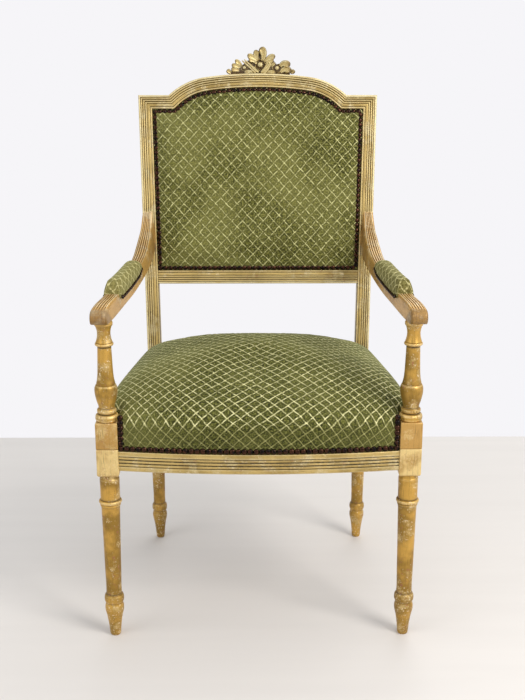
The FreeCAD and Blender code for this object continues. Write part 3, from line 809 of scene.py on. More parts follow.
def settle(piece: bpy.types.Object, loose: np.ndarray, cap: float, frames: int = 14) -> None:
    """Lets a padded piece's cover settle as cloth that is a little too large for its stuffing.

    The cloth runs for some frames with a light inner pressure and no gravity, its held points pinned. A point's
    move runs smoothly up to the cap, as the hyperbolic tangent of its reach over the cap, and the moved points
    replace the mesh's own, so that no modifier stays.

    Args:
        piece: the padded piece.
        loose: for each point, 0 where it is nailed down to 1 where it is free.
        cap: the farthest that a point may move, in metres.
        frames: frames of the run.
    """
    levels = np.round((1 - loose) * 4).astype(int)
    held = piece.vertex_groups.new(name="held")
    for level in range(1, 5):
        held.add(np.flatnonzero(levels == level).tolist(), level / 4, "REPLACE")
    cloth = piece.modifiers.new("cloth", "CLOTH")
    cloth.settings.quality = 4
    cloth.settings.mass = 0.25
    cloth.settings.tension_stiffness = 12
    cloth.settings.compression_stiffness = 12
    cloth.settings.bending_stiffness = 0.6
    cloth.settings.shrink_min = -0.012
    cloth.settings.use_pressure = True
    cloth.settings.uniform_pressure_force = 1.2
    cloth.settings.vertex_group_mass = held.name
    cloth.settings.effector_weights.gravity = 0
    cloth.collision_settings.use_collision = False
    scene = bpy.context.scene
    for frame_number in range(1, frames + 1):
        scene.frame_set(frame_number)
    settled = piece.evaluated_get(bpy.context.evaluated_depsgraph_get()).to_mesh()
    before = np.empty(len(piece.data.vertices) * 3, np.float32)
    after = before.copy()
    piece.data.vertices.foreach_get("co", before)
    settled.vertices.foreach_get("co", after)
    move = (after - before).reshape(-1, 3)
    reach = np.linalg.norm(move, axis=1, keepdims=True)
    move *= cap * np.tanh(reach / cap) / np.maximum(reach, 1e-9) * loose[:, None]
    log.info("%s settled by %.1f mm at most", piece.name, float(np.linalg.norm(move, axis=1).max()) / MM)
    piece.modifiers.remove(cloth)
    piece.vertex_groups.remove(held)
    scene.frame_set(1)
    piece.data.vertices.foreach_set("co", before + move.ravel())
    piece.data.update()


def frames_of(normals: np.ndarray) -> tuple[np.ndarray, np.ndarray]:
    """Two unit vectors square to each normal and to each other.

    Args:
        normals: unit vectors, one a row.
    Returns:
        The first and the second vector for each row.
    """
    helper = np.where(np.abs(normals[:, 2:3]) > 0.9, Y_AXIS, Z_AXIS)
    first = np.cross(helper, normals)
    first /= np.linalg.norm(first, axis=1, keepdims=True)
    return first, np.cross(normals, first)


@dataclass(frozen=True)
class DomeNail:
    """An upholstery nail's head: a low dome of a few faces."""

    radius: float = 5.6
    height: float = 3.6
    sides: int = 10

    def heads(self, places: np.ndarray, normals: np.ndarray) -> Shell:
        """All the heads as one shell of separate domes.

        A head's rings stand at angle a from the rim, with radius r cos a and height h sin a.

        Args:
            places: a centre on the cloth for each nail.
            normals: the cloth's outward direction there.
        Returns:
            The shell.
        """
        turn = np.arange(self.sides) * (2 * math.pi / self.sides)
        rise = np.radians([-20.0, 12.0, 48.0])
        ring = np.stack([np.cos(turn), np.sin(turn)], axis=1)
        n = self.sides
        rings = [
            np.column_stack([ring * self.radius * math.cos(a), np.full(n, self.height * math.sin(a))]) for a in rise
        ]
        local = np.vstack([*rings, [0.0, 0.0, self.height]])
        normals = normals / np.linalg.norm(normals, axis=1, keepdims=True)
        first, second = frames_of(normals)
        axes = np.stack([first, second, normals], axis=1)
        points = places[:, None] + np.einsum("kc,ncd->nkd", local, axes)
        j = np.arange(n)
        k = (j + 1) % n
        lowest = np.stack([j, k, n + k, n + j], axis=1)
        quads = np.concatenate([lowest, lowest + n])
        tips = np.stack([2 * n + j, 2 * n + k, np.full(n, 3 * n)], axis=1)
        base = j[::-1][None]
        start = (np.arange(len(places)) * len(local))[:, None, None]
        blocks = [(block[None] + start).reshape(-1, block.shape[1]) for block in (quads, tips, base)]
        uvs = [np.zeros((*block.shape, 2)) for block in blocks]
        return Shell(points.reshape(-1, 3), blocks, uvs, np.zeros(points.shape[0] * points.shape[1]))


@dataclass
class Profile:
    """Closed section of a member: depth inwards from its outer edge, level forward, and recess at each point."""

    depth: np.ndarray
    level: np.ndarray
    recess: np.ndarray

    @staticmethod
    def from_rows(rows: list[tuple[float, float, float]]) -> "Profile":
        """A profile from rows of depth, level and recess."""
        table = np.array(rows)
        return Profile(table[:, 0], table[:, 1], table[:, 2])


def reeds(start: float, pitch: float, count: int, crest: float, deep: float) -> list[tuple[float, float, float]]:
    """Reeds side by side: each is half an ellipse from groove to groove, its recess grows to 1 at both.

    Args:
        start: depth of the first groove.
        pitch: width of a reed.
        count: number of reeds.
        crest: level of their tops.
        deep: depth of the grooves.
    Returns:
        Rows of depth, level and recess.
    """
    angle = np.linspace(0, math.pi, 8)
    rows = []
    for number in range(count):
        depth = start + pitch * (number + (1 - np.cos(angle)) / 2)
        level = crest - deep * (1 - np.sin(angle))
        rows += list(zip(depth[:-1], level[:-1], (np.abs(np.cos(angle)) ** 1.5)[:-1]))
    rows.append((start + pitch * count, crest - deep, 1.0))
    return rows


def carry(path: np.ndarray, inward: np.ndarray, normal: np.ndarray, profile: Profile) -> Shell:
    """A profile carried along a path: point = path + inward x depth + normal x level.

    Args:
        path: points along the outer edge.
        inward: for each of them, the direction of depth, longer at a mitre.
        normal: the direction of level.
        profile: the section.
    Returns:
        The closed shell.
    """
    grid = path[:, None] + inward[:, None] * profile.depth[None, :, None] + normal * profile.level[None, :, None]
    return ring_shell(grid, profile.recess)


def mitre(first: np.ndarray, second: np.ndarray) -> np.ndarray:
    """Offset vector where two edges with these unit inward normals meet: their sum over 1 plus their product."""
    return (first + second) / (1 + float(first @ second))


@dataclass
class BackFrame:
    """Stiles, crest rail and lower rail of the back, in the back's raked plane."""

    layout: Layout
    reed_count: int = 3
    reed_start: float = 4.2
    reed_pitch: float = 4.35
    reed_deep: float = 2.2

    def __post_init__(self) -> None:
        """Works out the outline."""
        layout = self.layout
        self.top = layout.up_back(layout.shoulder_z)
        self.low = layout.up_back(layout.back_rail_z)
        edge = np.array([layout.shoulder_x - layout.stile_foot_x, self.top])
        self.edge = edge / np.linalg.norm(edge)
        self.stile_in = np.array([-self.edge[1], self.edge[0]])
        self.corner = np.array([layout.shoulder_x, self.top])

    def arcs(self) -> tuple[float, float, np.ndarray]:
        """Radii of the crest's middle and end arcs and the right end arc's centre.

        The two arcs meet in line, cover the half span, and rise from the shoulder to the arch's top.

        Returns:
            The two radii, and u and w of the centre.
        """
        foot, joint = (math.radians(value) for value in self.layout.arch_slopes)
        rise = self.layout.up_back(self.layout.arch_z) - self.top
        system = np.array([
            [math.sin(joint), math.sin(foot) - math.sin(joint)],
            [1 - math.cos(joint), math.cos(joint) - math.cos(foot)],
        ])
        middle, end = np.linalg.solve(system, [self.layout.arch_half, rise])
        gap = middle - end
        middle_w = self.layout.up_back(self.layout.arch_z) - middle
        return middle, end, np.array([gap * math.sin(joint), middle_w + gap * math.cos(joint)])

    def crest_line(self) -> tuple[np.ndarray, np.ndarray]:
        """Outer edge of the crest rail from its left corner to its right one, and the inward vectors.

        Returns:
            Points (u, w) and the offset vector for each.
        """
        middle, end, centre = self.arcs()
        foot, joint = (math.radians(value) for value in self.layout.arch_slopes)
        down = np.array([0.0, -1.0])
        flat = np.linspace(self.layout.shoulder_x, self.layout.arch_half, 7)[:-1]
        flat_points = np.column_stack([flat, np.full(len(flat), self.top)])
        angles = np.linspace(foot, joint, 26)
        rays = np.column_stack([np.sin(angles), np.cos(angles)])
        end_points, end_in = centre + rays * end, -rays
        end_in[0] = mitre(down, end_in[0])
        share = ((self.layout.shoulder_x - flat) / (self.layout.shoulder_x - self.layout.arch_half))[:, None]
        flat_in = mitre(self.stile_in, down) * (1 - share) + end_in[0] * share
        middle_angles = np.linspace(joint, 0, 14)[1:]
        rays = np.column_stack([np.sin(middle_angles), np.cos(middle_angles)])
        crown = np.array([0.0, self.layout.up_back(self.layout.arch_z) - middle])
        right = np.vstack([flat_points, end_points, crown + rays * middle])
        right_in = np.vstack([flat_in, end_in, -rays])
        return np.vstack([right * FLIP, right[::-1][1:]]), np.vstack([right_in * FLIP, right_in[::-1][1:]])

    def loop(self, inset: float) -> np.ndarray:
        """The panel's outline, inset from the frame's outer edge, as a closed line from the lower left.

        Args:
            inset: distance inwards from the outer edge.
        Returns:
            Points (u, w).
        """
        points, inward = self.crest_line()
        stile = mitre(self.stile_in, np.array([0.0, 1.0]))
        foot = np.array([self.layout.stile_edge(self.low), self.low])
        line = np.vstack([foot * FLIP, points, foot])
        offset = np.vstack([stile * FLIP, inward, stile])
        return line + offset * inset

    def moulding(self) -> list[tuple[float, float, float]]:
        """Front rows of the section: eased edge band, three reeds, flat band and bead.

        Returns:
            Rows of depth, level and recess.
        """
        rows = [(0.0, -1.8, 0.15), (0.5, -0.7, 0.0), (1.5, -0.1, 0.0), (3.0, 0.0, 0.0), (3.9, -0.3, 0.1)]
        rows += reeds(self.reed_start, self.reed_pitch, self.reed_count, -0.1, self.reed_deep)
        rows += [(17.6, -0.75, 0.5), (18.4, -0.55, 0.3), (22.4, -0.6, 0.3), (23.2, -1.2, 0.95)]
        rows += reeds(23.4, 4.5, 1, 0.0, 1.3)[1:]
        return rows

    def section(self, thick: float) -> Profile:
        """Whole section of a member without its ledge.

        Args:
            thick: the member's thickness.
        Returns:
            The profile.
        """
        wide = self.layout.moulding
        rows = self.moulding() + [
            (wide, -thick + 1.2, 0.1),
            (wide - 1.2, -thick, 0.3),
            (1.2, -thick, 0.3),
            (0.0, -thick + 1.2, 0.3),
        ]
        return Profile.from_rows(rows)

    def ledge_section(self, thick: float) -> Profile:
        """Section of the recessed ledge that carries the cover.

        Args:
            thick: the member's thickness.
        Returns:
            The profile.
        """
        inner, outer = self.layout.moulding + self.layout.ledge, self.layout.moulding - 0.5
        face = -self.layout.ledge_deep
        return Profile.from_rows([(outer, face, 0.8), (inner, face, 0.8), (inner, -thick, 0.3), (outer, -thick, 0.3)])

    def member(self, points: np.ndarray, inward: np.ndarray, thick: float, ledge: bool) -> list[Shell]:
        """Shells of one member along its outer edge.

        Args:
            points: its outer edge (u, w).
            inward: offset vectors.
            thick: its thickness.
            ledge: whether it carries the cover's ledge.
        Returns:
            Its shells.
        """
        profiles = [self.section(thick)] + ([self.ledge_section(thick)] if ledge else [])
        shells = []
        for profile in profiles:
            flat = carry(np.pad(points, ((0, 0), (0, 1))), np.pad(inward, ((0, 0), (0, 1))), Z_AXIS, profile)
            shells.append(Shell(self.layout.from_back(flat.points), flat.faces, flat.uvs, flat.recess).outward())
        return shells

    def stile(self) -> list[Shell]:
        """The right stile from its block to the mitre, with a ledge above the lower rail.

        Returns:
            Its shells.
        """
        foot = np.array([self.layout.stile_foot_x, 0.0]) - self.edge * 4
        share = np.linspace(0, 1, 40)[:, None]
        points = foot * (1 - share) + self.corner * share
        inward = self.stile_in * (1 - share) + mitre(self.stile_in, np.array([0.0, -1.0])) * share
        shells = self.member(points, inward, self.layout.frame_thick, False)
        start = self.low + self.layout.moulding + self.layout.ledge
        keep = points[:, 1] > start
        shells += self.member(points[keep], inward[keep], self.layout.frame_thick, True)[1:]
        return shells

    def crest(self) -> list[Shell]:
        """The crest rail, mitred to the stiles."""
        points, inward = self.crest_line()
        return self.member(points, inward, self.layout.frame_thick, True)

    def lower_rail(self) -> list[Shell]:
        """The lower rail between the stiles: its ends follow their slope.

        Returns:
            Its shells.
        """
        foot = np.array([self.layout.stile_edge(self.low), self.low]) + self.stile_in * self.layout.moulding
        share = np.linspace(-1, 1, 30)[:, None]
        points = np.hstack([foot[0] * share, np.full_like(share, self.low)])
        lean = self.edge / self.edge[1]
        inward = np.hstack([lean[0] * share, np.ones_like(share)])
        return self.member(points, inward, self.layout.frame_thick - 4, True)

    def build(self, finishes: Finishes) -> None:
        """Makes the crest and the lower rail; the stiles are made with the rear posts.

        Args:
            finishes: the chair's materials.
        """
        crest = make_piece("crest_rail_moulded", self.crest(), finishes.frame, self.layout)
        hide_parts("crest_rail")
        rail = make_piece("lower_back_rail_moulded", self.lower_rail(), finishes.frame, self.layout)
        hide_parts("lower_back_rail")


def rounded_square(half: float, radius: float) -> np.ndarray:
    """Corner-rounded square in plan, a quarter circle of five points at each corner.

    Args:
        half: half its width.
        radius: the corners' radius.
    Returns:
        Twenty points.
    """
    angle = np.linspace(0, math.pi / 2, 5)
    arc = np.column_stack([np.cos(angle), np.sin(angle)]) * radius + (half - radius)
    turn = np.array([[0.0, 1.0], [-1.0, 0.0]])
    parts = [arc]
    for _ in range(3):
        parts.append(parts[-1] @ turn)
    return np.vstack(parts)


def block_shell(size: float, bottom: float, top: float, ease: float, foot: float) -> Shell:
    """A square block: eased upright edges, a rounded lower end and a lightly eased upper end.

    Args:
        size: width over the flats.
        bottom: lower end.
        top: upper end.
        ease: radius of the upright edges.
        foot: radius of the lower end's rounding.
    Returns:
        The shell about the Z axis.
    """
    angle = np.linspace(0, math.pi / 2, 5)
    low = [(-foot * (1 - math.sin(a)), bottom + foot * (1 - math.cos(a))) for a in angle]
    rows = low + [(0.0, bottom + foot + 3), (0.0, (bottom + top) / 2), (0.0, top - 3), (-0.2, top - 0.7), (-0.9, top)]
    rings = []
    for inset, z in rows:
        half = size / 2 + inset
        plan = rounded_square(half, min(ease, half))
        rings.append(np.column_stack([plan, np.full(len(plan), z)]))
    shade = np.full((len(rows), 20), PLAIN)
    # Low recess on the corners' middles and the upper end: bright edges, partly wear and partly a painted highlight.
    shade[:, 2::5] = 0.2
    shade[-2:] = 0.16
    return ring_shell(np.stack(rings), shade)


def lathe(profile: np.ndarray, sides: int = 56) -> Shell:
    """A profile of radius and height turned about Z: point = (r cos a, r sin a, z).

    The recess is 0.3 on a plain length, less on a bead and more where the profile dips below its own mean.

    Args:
        profile: rows of radius and height.
        sides: places round the axis.
    Returns:
        The closed shell.
    """
    turn = np.arange(sides) * (2 * math.pi / sides)
    radius, height = profile[:, 0], profile[:, 1]
    level = np.broadcast_to(height[:, None], (len(radius), sides))
    grid = np.stack([radius[:, None] * np.cos(turn), radius[:, None] * np.sin(turn), level], axis=-1)
    near = np.abs(height[:, None] - height[None]) < 4.0
    around = (near * radius[None]).sum(axis=1) / near.sum(axis=1)
    dip = np.clip(PLAIN + 0.3 * (around - radius), 0, 0.85)
    uv = np.stack(np.meshgrid(height, np.linspace(0, 1, sides + 1) * 100, indexing="ij"), axis=-1) * MM
    return ring_shell(grid, dip[:, None] * np.ones(sides), uv)


@dataclass(frozen=True)
class Turnings:
    """Legs, arm posts and their blocks."""

    layout: Layout
    rear_slim: float = 0.9
    rear_lean: float = 3.5
    foot: Line = (
        (8.4, 0), (9.3, 1.6), (10.4, 10), (12.0, 25), (14.4, 40), (17.0, 52), (17.3, 56), (16.7, 61), (15.0, 65.5),
    )
    taper: Line = ((14.2, 84.5), (14.1, 87), (14.6, 130), (15.3, 180), (16.4, 244), (16.6, 252.5))
    vase: Line = (
        (14.0, 442.5), (14.2, 445.5), (16.4, 453), (18.6, 462), (20.1, 473), (19.6, 480), (17.8, 484.2),
    )
    long_neck: Line = ((16.5, 487.2), (14.9, 494), (13.9, 503), (13.2, 516), (12.6, 534), (12.0, 552.6))
    flare: Line = ((14.6, 561.0), (13.2, 565), (11.9, 571), (11.5, 577), (12.2, 583), (13.8, 588.5))

    def leg_profile(self) -> np.ndarray:
        """Foot, bulb, ring, long taper, ring, neck and cove, as radius and height.

        Returns:
            Rows of radius and height.
        """
        parts = [
            smooth_line(self.foot, 34),
            bead(67.0, 82.5, 15.2, 2.7, 12),
            smooth_line(self.taper, 30),
            bead(257.5, 262.5, 16.9, 1.4, 7),
            bead(262.7, 270.0, 17.1, 3.4, 10),
            smooth_line(((17.3, 271.5), (17.3, 285), (17.6, 309)), 8),
            bead(310.5, self.layout.block_bottom + 1.5, 17.4, -1.3, 7),
        ]
        return np.vstack(parts)

    def front_leg(self) -> list[Shell]:
        """Turned leg and block of the right front leg.

        Returns:
            Its shells.
        """
        layout = self.layout
        block = block_shell(layout.front_block, layout.block_bottom, layout.block_joint - 0.5, 2.2, 4.5)
        return [shell.moved(layout.front_x, 0.0) for shell in (lathe(self.leg_profile()), block)]

    def post_profile(self) -> np.ndarray:
        """Arm post: two beads, vase, waist, long neck, ring, flare and collar.

        Returns:
            Rows of radius and height.
        """
        top = self.layout.post_top
        parts = [
            np.array([(17.0, 416.0)]),
            bead(418.2, 431.0, 17.4, 3.1, 12),
            np.array([(15.0, 432.0)]),
            bead(433.2, 441.0, 15.0, 2.2, 10),
            smooth_line(self.vase, 20),
            np.array([(16.2, 485.0), (16.2, 486.2)]),
            smooth_line(self.long_neck, 20),
            bead(554.4, 560.5, 13.0, 3.2, 9),
            smooth_line(self.flare, 14),
            bead(589.5, top - 0.5, 14.2, 1.8, 8),
            np.array([(14.6, top + 1.5)]),
        ]
        return np.vstack(parts)

    def arm_post(self) -> list[Shell]:
        """Turned post and square base of the right arm post.

        Returns:
            Its shells.
        """
        layout = self.layout
        base = block_shell(layout.front_block, layout.block_joint + 0.3, layout.post_base_top, 2.0, 0.8)
        return [shell.moved(layout.front_x, 0.0) for shell in (lathe(self.post_profile()), base)]

    def rear_leg(self) -> list[Shell]:
        """Raked turned leg and block of the right rear post.

        Returns:
            Its shells.
        """
        layout = self.layout
        leg = lathe(self.leg_profile() * np.array([self.rear_slim, 1.0]))
        drop = layout.block_bottom + 12 - leg.points[:, 2]
        leg.points[:, 1] += drop * math.tan(math.radians(self.rear_lean))
        block = block_shell(layout.rear_block, layout.block_bottom, layout.rear_block_top, 2.0, 4.0)
        return [shell.moved(layout.rear_x, layout.rear_y) for shell in (leg, block)]

    def build(self, finishes: Finishes, back: BackFrame) -> None:
        """Makes both sides' legs, arm posts and rear posts.

        Args:
            finishes: the chair's materials.
            back: the back frame, whose stiles are one piece with the rear legs.
        """
        for side in Side:
            for node, shells in (
                ("front_leg", self.front_leg()),
                ("arm_post", self.arm_post()),
                ("rear_post", self.rear_leg() + back.stile()),
            ):
                if side is Side.LEFT:
                    shells = [shell.mirrored() for shell in shells]
                piece = make_piece(f"{node}_{side.word}_gilded", shells, finishes.turning, self.layout)
                piece.data.materials.append(finishes.block)
                piece.data.materials.append(finishes.frame)
                sizes = [sum(len(block) for block in shell.faces) for shell in shells]
                slots = [0, 1] + [2] * (len(shells) - 2)
                piece.data.polygons.foreach_set("material_index", np.repeat(slots, sizes).astype(np.int32))
                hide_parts(f"{node}_{side.word}")


@dataclass
class SeatFrame:
    """Seat rails and the seat's plan."""

    layout: Layout
    band: float = 8.6
    reed_count: int = 3
    reed_pitch: float = 6.1
    reed_deep: float = 1.9

    def __post_init__(self) -> None:
        """Works out the front rail's bow."""
        layout = self.layout
        self.inner = layout.front_x - layout.front_block / 2
        sagitta = layout.rail_end_y - layout.rail_middle_y
        self.bow = (self.inner**2 + sagitta**2) / (2 * sagitta)

    def bow_y(self, x: np.ndarray) -> np.ndarray:
        """Y of the bowed front rail's face at x: a circle through the middle and the ends."""
        return self.layout.rail_middle_y + self.bow - np.sqrt(self.bow**2 - x**2)

    def side_line(self) -> tuple[np.ndarray, np.ndarray]:
        """Ends of the right side rail's outer face in plan.

        Returns:
            Its front and its rear end, x and y.
        """
        layout = self.layout
        start = np.array([layout.front_x + layout.front_block / 2 - 3, layout.front_block / 2])
        end = np.array([layout.rear_x + layout.rear_block / 2 - 3, layout.rear_y - layout.rear_block / 2])
        return start, end

    def section(self, plain: bool) -> Profile:
        """Section of a rail: depth inwards, level up. Flat band, three reeds, flat band, rebate for the cover.

        Args:
            plain: whether the rail has no reeds.
        Returns:
            The profile.
        """
        layout = self.layout
        low, top, moulded, thick = layout.rail_bottom, layout.rail_top, layout.rail_moulded, layout.rail_thick
        first = low + self.band
        rows = [(1.0, low, 0.1), (0.15, low + 0.8, 0.1), (0.0, low + 3, 0.3)]
        if not plain:
            rows.append((0.1, first - 0.6, 0.1))
            angle = np.linspace(0, math.pi, 8)
            for number in range(self.reed_count):
                level = first + self.reed_pitch * (number + (1 - np.cos(angle)) / 2)
                depth = 0.1 + self.reed_deep * (1 - np.sin(angle))
                rows += list(zip(depth, level, np.abs(np.cos(angle))))
            rows.append((0.1, first + self.reed_count * self.reed_pitch + 0.6, 0.1))
        rows += [(0.0, moulded - 2, 0.3), (0.3, moulded - 0.5, 0.1), (1.0, moulded, 0.2), (5.0, moulded, 0.9)]
        rows += [(5.0, top, 0.3), (thick, top, 0.3), (thick, low, 0.3)]
        return Profile.from_rows(rows)

    def rail(self, points: np.ndarray, inward: np.ndarray, plain: bool) -> Shell:
        """A rail's shell along its outer face's line in plan."""
        return carry(np.pad(points, ((0, 0), (0, 1))), np.pad(inward, ((0, 0), (0, 1))), Z_AXIS, self.section(plain))

    def front(self) -> Shell:
        """The bowed front rail between the blocks; its ends are square to the chair's middle plane.

        Returns:
            The closed shell.
        """
        x = np.linspace(-self.inner, self.inner, 70)
        y = self.bow_y(x)
        centre = np.array([0.0, self.layout.rail_middle_y + self.bow])
        points = np.column_stack([x, y])
        inward = (centre - points) / self.bow
        for end in (0, -1):
            inward[end] = np.array([0.0, 1.0 / inward[end][1]])
        return self.rail(points, inward, False)

    def side(self) -> Shell:
        """The right side rail; its ends stand square to Y.

        Returns:
            The closed shell.
        """
        start, end = self.side_line()
        share = np.linspace(0, 1, 30)[:, None]
        points = start * (1 - share) + end * share
        along = (end - start) / np.linalg.norm(end - start)
        inward = np.tile([-along[1], along[0]], (len(points), 1))
        for place in (0, -1):
            inward[place] = np.array([-1.0 / along[1], 0.0])
        return self.rail(points, inward, False)

    def rear(self) -> Shell:
        """The plain rear rail.

        Returns:
            The closed shell.
        """
        layout = self.layout
        inner = layout.rear_x - layout.rear_block / 2
        x = np.linspace(-inner, inner, 24)
        y = np.full_like(x, layout.rear_y + layout.rear_block / 2 - 3)
        return self.rail(np.column_stack([x, y]), np.tile([0.0, -1.0], (len(x), 1)), True)

    def build(self, finishes: Finishes) -> None:
        """Makes the four rails.

        Args:
            finishes: the chair's materials.
        """
        side = self.side()
        rails = {
            "front_seat_rail": self.front(),
            "rear_seat_rail": self.rear(),
            "side_seat_rail_right": side,
            "side_seat_rail_left": side.mirrored(),
        }
        for node, shell in rails.items():
            piece = make_piece(f"{node}_moulded", [shell], finishes.frame, self.layout)
            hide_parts(node)


@dataclass(frozen=True)
class Arm:
    """One swept arm, worked out on the right and mirrored for the left.

    The lines top, roll and under hold y and z, the plan lines outer, inner and upper hold y and x.
    """

    layout: Layout
    top: Line = (
        (446, 742), (433, 722), (411, 692), (385, 676), (339, 659), (300, 650), (249, 642), (150, 636), (38, 632),
        (-22, 627),
    )
    roll: Line = ((-31, 624.5), (-38.5, 619), (-42, 612), (-40, 604.5), (-34, 599.5), (-28, 598))
    under: Line = (
        (430, 668), (412, 650), (386, 637), (345, 629), (284, 622), (184, 612), (100, 604), (20, 598), (-10, 598),
        (-27, 598),
    )
    outer: Line = (
        (446, 236.5), (385, 244), (304, 248.5), (240, 254), (140, 262.5), (50, 271), (0, 278), (-36, 284),
    )
    inner: Line = (
        (446, 211), (385, 214), (300, 218), (220, 224), (150, 231.5), (100, 239), (40, 247.5), (-4, 252.5), (-36, 256),
    )
    upper: Line = (
        (446, 218.4), (433, 218.3), (385, 218.5), (339, 219.6), (300, 221.9), (249, 226.6), (150, 234.5), (38, 246),
        (-22, 254), (-36, 256),
    )
    reed_count: int = 4
    reed_deep: float = 1.4
    pad_front: float = 54.0
    pad_rear: float = 256.0

    @staticmethod
    def edge(line: Line, y: np.ndarray) -> np.ndarray:
        """X of a plan line at y, on the smooth line through its points."""
        smooth = smooth_line(line, 240)[::-1]
        return np.interp(y, smooth[:, 0], smooth[:, 1])

    def body(self) -> Shell:
        """The arm: each ring runs up the inner side, over the reeded top and down the outer side.

        A ring's point is the blend between the underside's and the top's point, with eased corners.
        Across the top the reeds stand out square to the top line, and fade out towards the front scroll.

        Returns:
            The closed shell.
        """
        count = 110
        top, under = smooth_line(self.top + self.roll, count), smooth_line(self.under, count)
        tangent = np.gradient(top, axis=0)
        tangent /= np.linalg.norm(tangent, axis=1, keepdims=True)
        normal = np.column_stack([-tangent[:, 1], tangent[:, 0]])
        normal *= np.sign(np.einsum("ij,ij->i", normal, top - under))[:, None]
        in_top, out_top = self.edge(self.upper, top[:, 0]), self.edge(self.outer, top[:, 0])
        in_low, out_low = self.edge(self.inner, under[:, 0]), self.edge(self.outer, under[:, 0])
        high = np.linalg.norm(top - under, axis=1)
        ease = np.minimum(4.0, high * 0.3)
        fade = np.clip((top[:, 0] + 34) / 14, 0.12, 1) * (top[:, 0] > -30)
        rows, shade = [], []

        def row(x: np.ndarray, share: np.ndarray, lift: np.ndarray, recess: float) -> None:
            """Adds one place to every ring.

            Args:
                x: its places across.
                share: share of the way from the underside to the top.
                lift: distance off the top line.
                recess: its recess.
            """
            point = under * (1 - share[:, None]) + top * share[:, None] + normal * lift[:, None]
            rows.append(np.column_stack([x, point]))
            shade.append(recess)

        zero, one = np.zeros(count), np.ones(count)
        row(in_low + ease * 0.3, zero, zero, PLAIN)
        row(in_low, ease * 0.3 / np.maximum(high, 1), zero, PLAIN)
        for share in (0.3, 0.55, 0.75):
            row(in_low * (1 - share) + in_top * share, one * share, zero, PLAIN)
        row(in_top, 1 - ease / np.maximum(high, 1), zero, PLAIN)
        row(in_top + 0.3 * ease, 1 - 0.3 * ease / np.maximum(high, 1), zero, PLAIN)
        row(in_top + ease, one, zero - 0.1, 0.0)
        start, stop = in_top + ease + 0.6, out_top - ease - 0.6
        angle = np.linspace(0, math.pi, 7)
        for reed in range(self.reed_count):
            for a in angle[(0 if reed == 0 else 1):]:
                share = (reed + (1 - math.cos(a)) / 2) / self.reed_count
                lift = -self.reed_deep * (1 - math.sin(a)) * fade
                row(start + (stop - start) * share, one, lift, abs(math.cos(a)) ** 1.2)
        row(out_top - ease, one, zero - 0.1, 0.0)
        row(out_top - 0.3 * ease, 1 - 0.3 * ease / np.maximum(high, 1), zero, PLAIN)
        row(out_top, 1 - ease / np.maximum(high, 1), zero, PLAIN)
        for share in (0.7, 0.4):
            row(out_low * (1 - share) + out_top * share, one * share, zero, PLAIN)
        row(out_low, ease * 0.3 / np.maximum(high, 1), zero, PLAIN)
        row(out_low - ease * 0.3, zero, zero, PLAIN)
        grid = np.stack(rows, axis=1)
        # Painted shade on the scroll's front: where the reeds fade out, the recess rises by up to 0.32, so the knuckle
        # is painted darker.
        recess = PLAIN + (np.array(shade) - PLAIN) * fade[:, None] + 0.32 * (1 - fade[:, None])
        return ring_shell(grid, recess)

    def pad(self) -> tuple[Shell, np.ndarray, np.ndarray]:
        """The stuffed pad over the arm, its cover tucked at both ends, and its nails.

        A ring is a half super-ellipse across the arm over two straight lips down its sides.

        Returns:
            The shell, the nails' places and their normals.
        """
        stations, ring = 64, 44
        y = np.linspace(self.pad_front, self.pad_rear, stations)
        top = smooth_line(self.top[::-1], 400)
        level = np.interp(y, top[:, 0], top[:, 1])
        inner, outer = self.edge(self.upper, y) - 2.6, self.edge(self.outer, y) + 1.8
        share = (y - self.pad_front) / (self.pad_rear - self.pad_front)
        ends = np.minimum(share / 0.09, (1 - share) / 0.22)
        full = np.sqrt(1 - (1 - np.clip(ends, 0, 1)) ** 2.2)
        rise = 4.0 + (19.5 - 4.5 * share) * full
        lip = 3.0 + 6.5 * np.clip(ends * 1.5, 0, 1)
        angle = np.linspace(0, math.pi, ring - 8)
        middle, half = (inner + outer) / 2, (outer - inner) / 2
        squeeze = 0.955 + 0.045 * full
        across = -np.sign(np.cos(angle)) * np.abs(np.cos(angle)) ** 0.72
        over = np.abs(np.sin(angle)) ** 0.8
        x = middle[:, None] + (half * squeeze)[:, None] * across
        pleat = 1 + 0.10 * np.cos(across * math.pi * 3.2)[None] * np.exp(-share / 0.10)[:, None]
        z = level[:, None] - 2.0 + (rise[:, None] + 2.0) * over * pleat
        yy = np.broadcast_to(y[:, None], x.shape)
        dome = np.stack([x, yy, z], axis=-1)
        down = np.linspace(0, 1, 4)[1:]
        left = np.stack([dome[:, 0] - Z_AXIS * (lip * d)[:, None] for d in down[::-1]], axis=1)
        right = np.stack([dome[:, -1] - Z_AXIS * (lip * d)[:, None] for d in down], axis=1)
        tuck = X_AXIS * (half * 0.9)[:, None]
        floor = np.stack([right[:, -1] - tuck, left[:, 0] + tuck], axis=1)
        grid = np.concatenate([left, dome, right, floor], axis=1)
        total = lengths(np.vstack([grid[stations // 2], grid[stations // 2, :1]]))
        run = lengths(grid[:, len(left[0]) + len(angle) // 2])
        uv = np.stack(np.meshgrid(run, total, indexing="ij"), axis=-1)[..., ::-1] * MM
        shell = ring_shell(grid, None, uv)
        nails, normals = self.pad_nails(left[:, 0], right[:, -1])
        return shell, nails, normals

    def pad_nails(self, left: np.ndarray, right: np.ndarray) -> tuple[np.ndarray, np.ndarray]:
        """Nails along both lower edges of the pad's cover.

        Args:
            left: points along the cover's inner lower edge.
            right: the same along the outer one.
        Returns:
            The nails' places and their normals.
        """
        places, normals = [], []
        for line, sign in ((left, -1.0), (right, 1.0)):
            even = open_line(line[2:-2], 8.6)
            places.append(even + np.array([sign * 0.4, 0.0, 2.4]))
            normals.append(np.tile([sign, 0.0, 0.0], (len(even), 1)))
        return np.vstack(places), np.vstack(normals)

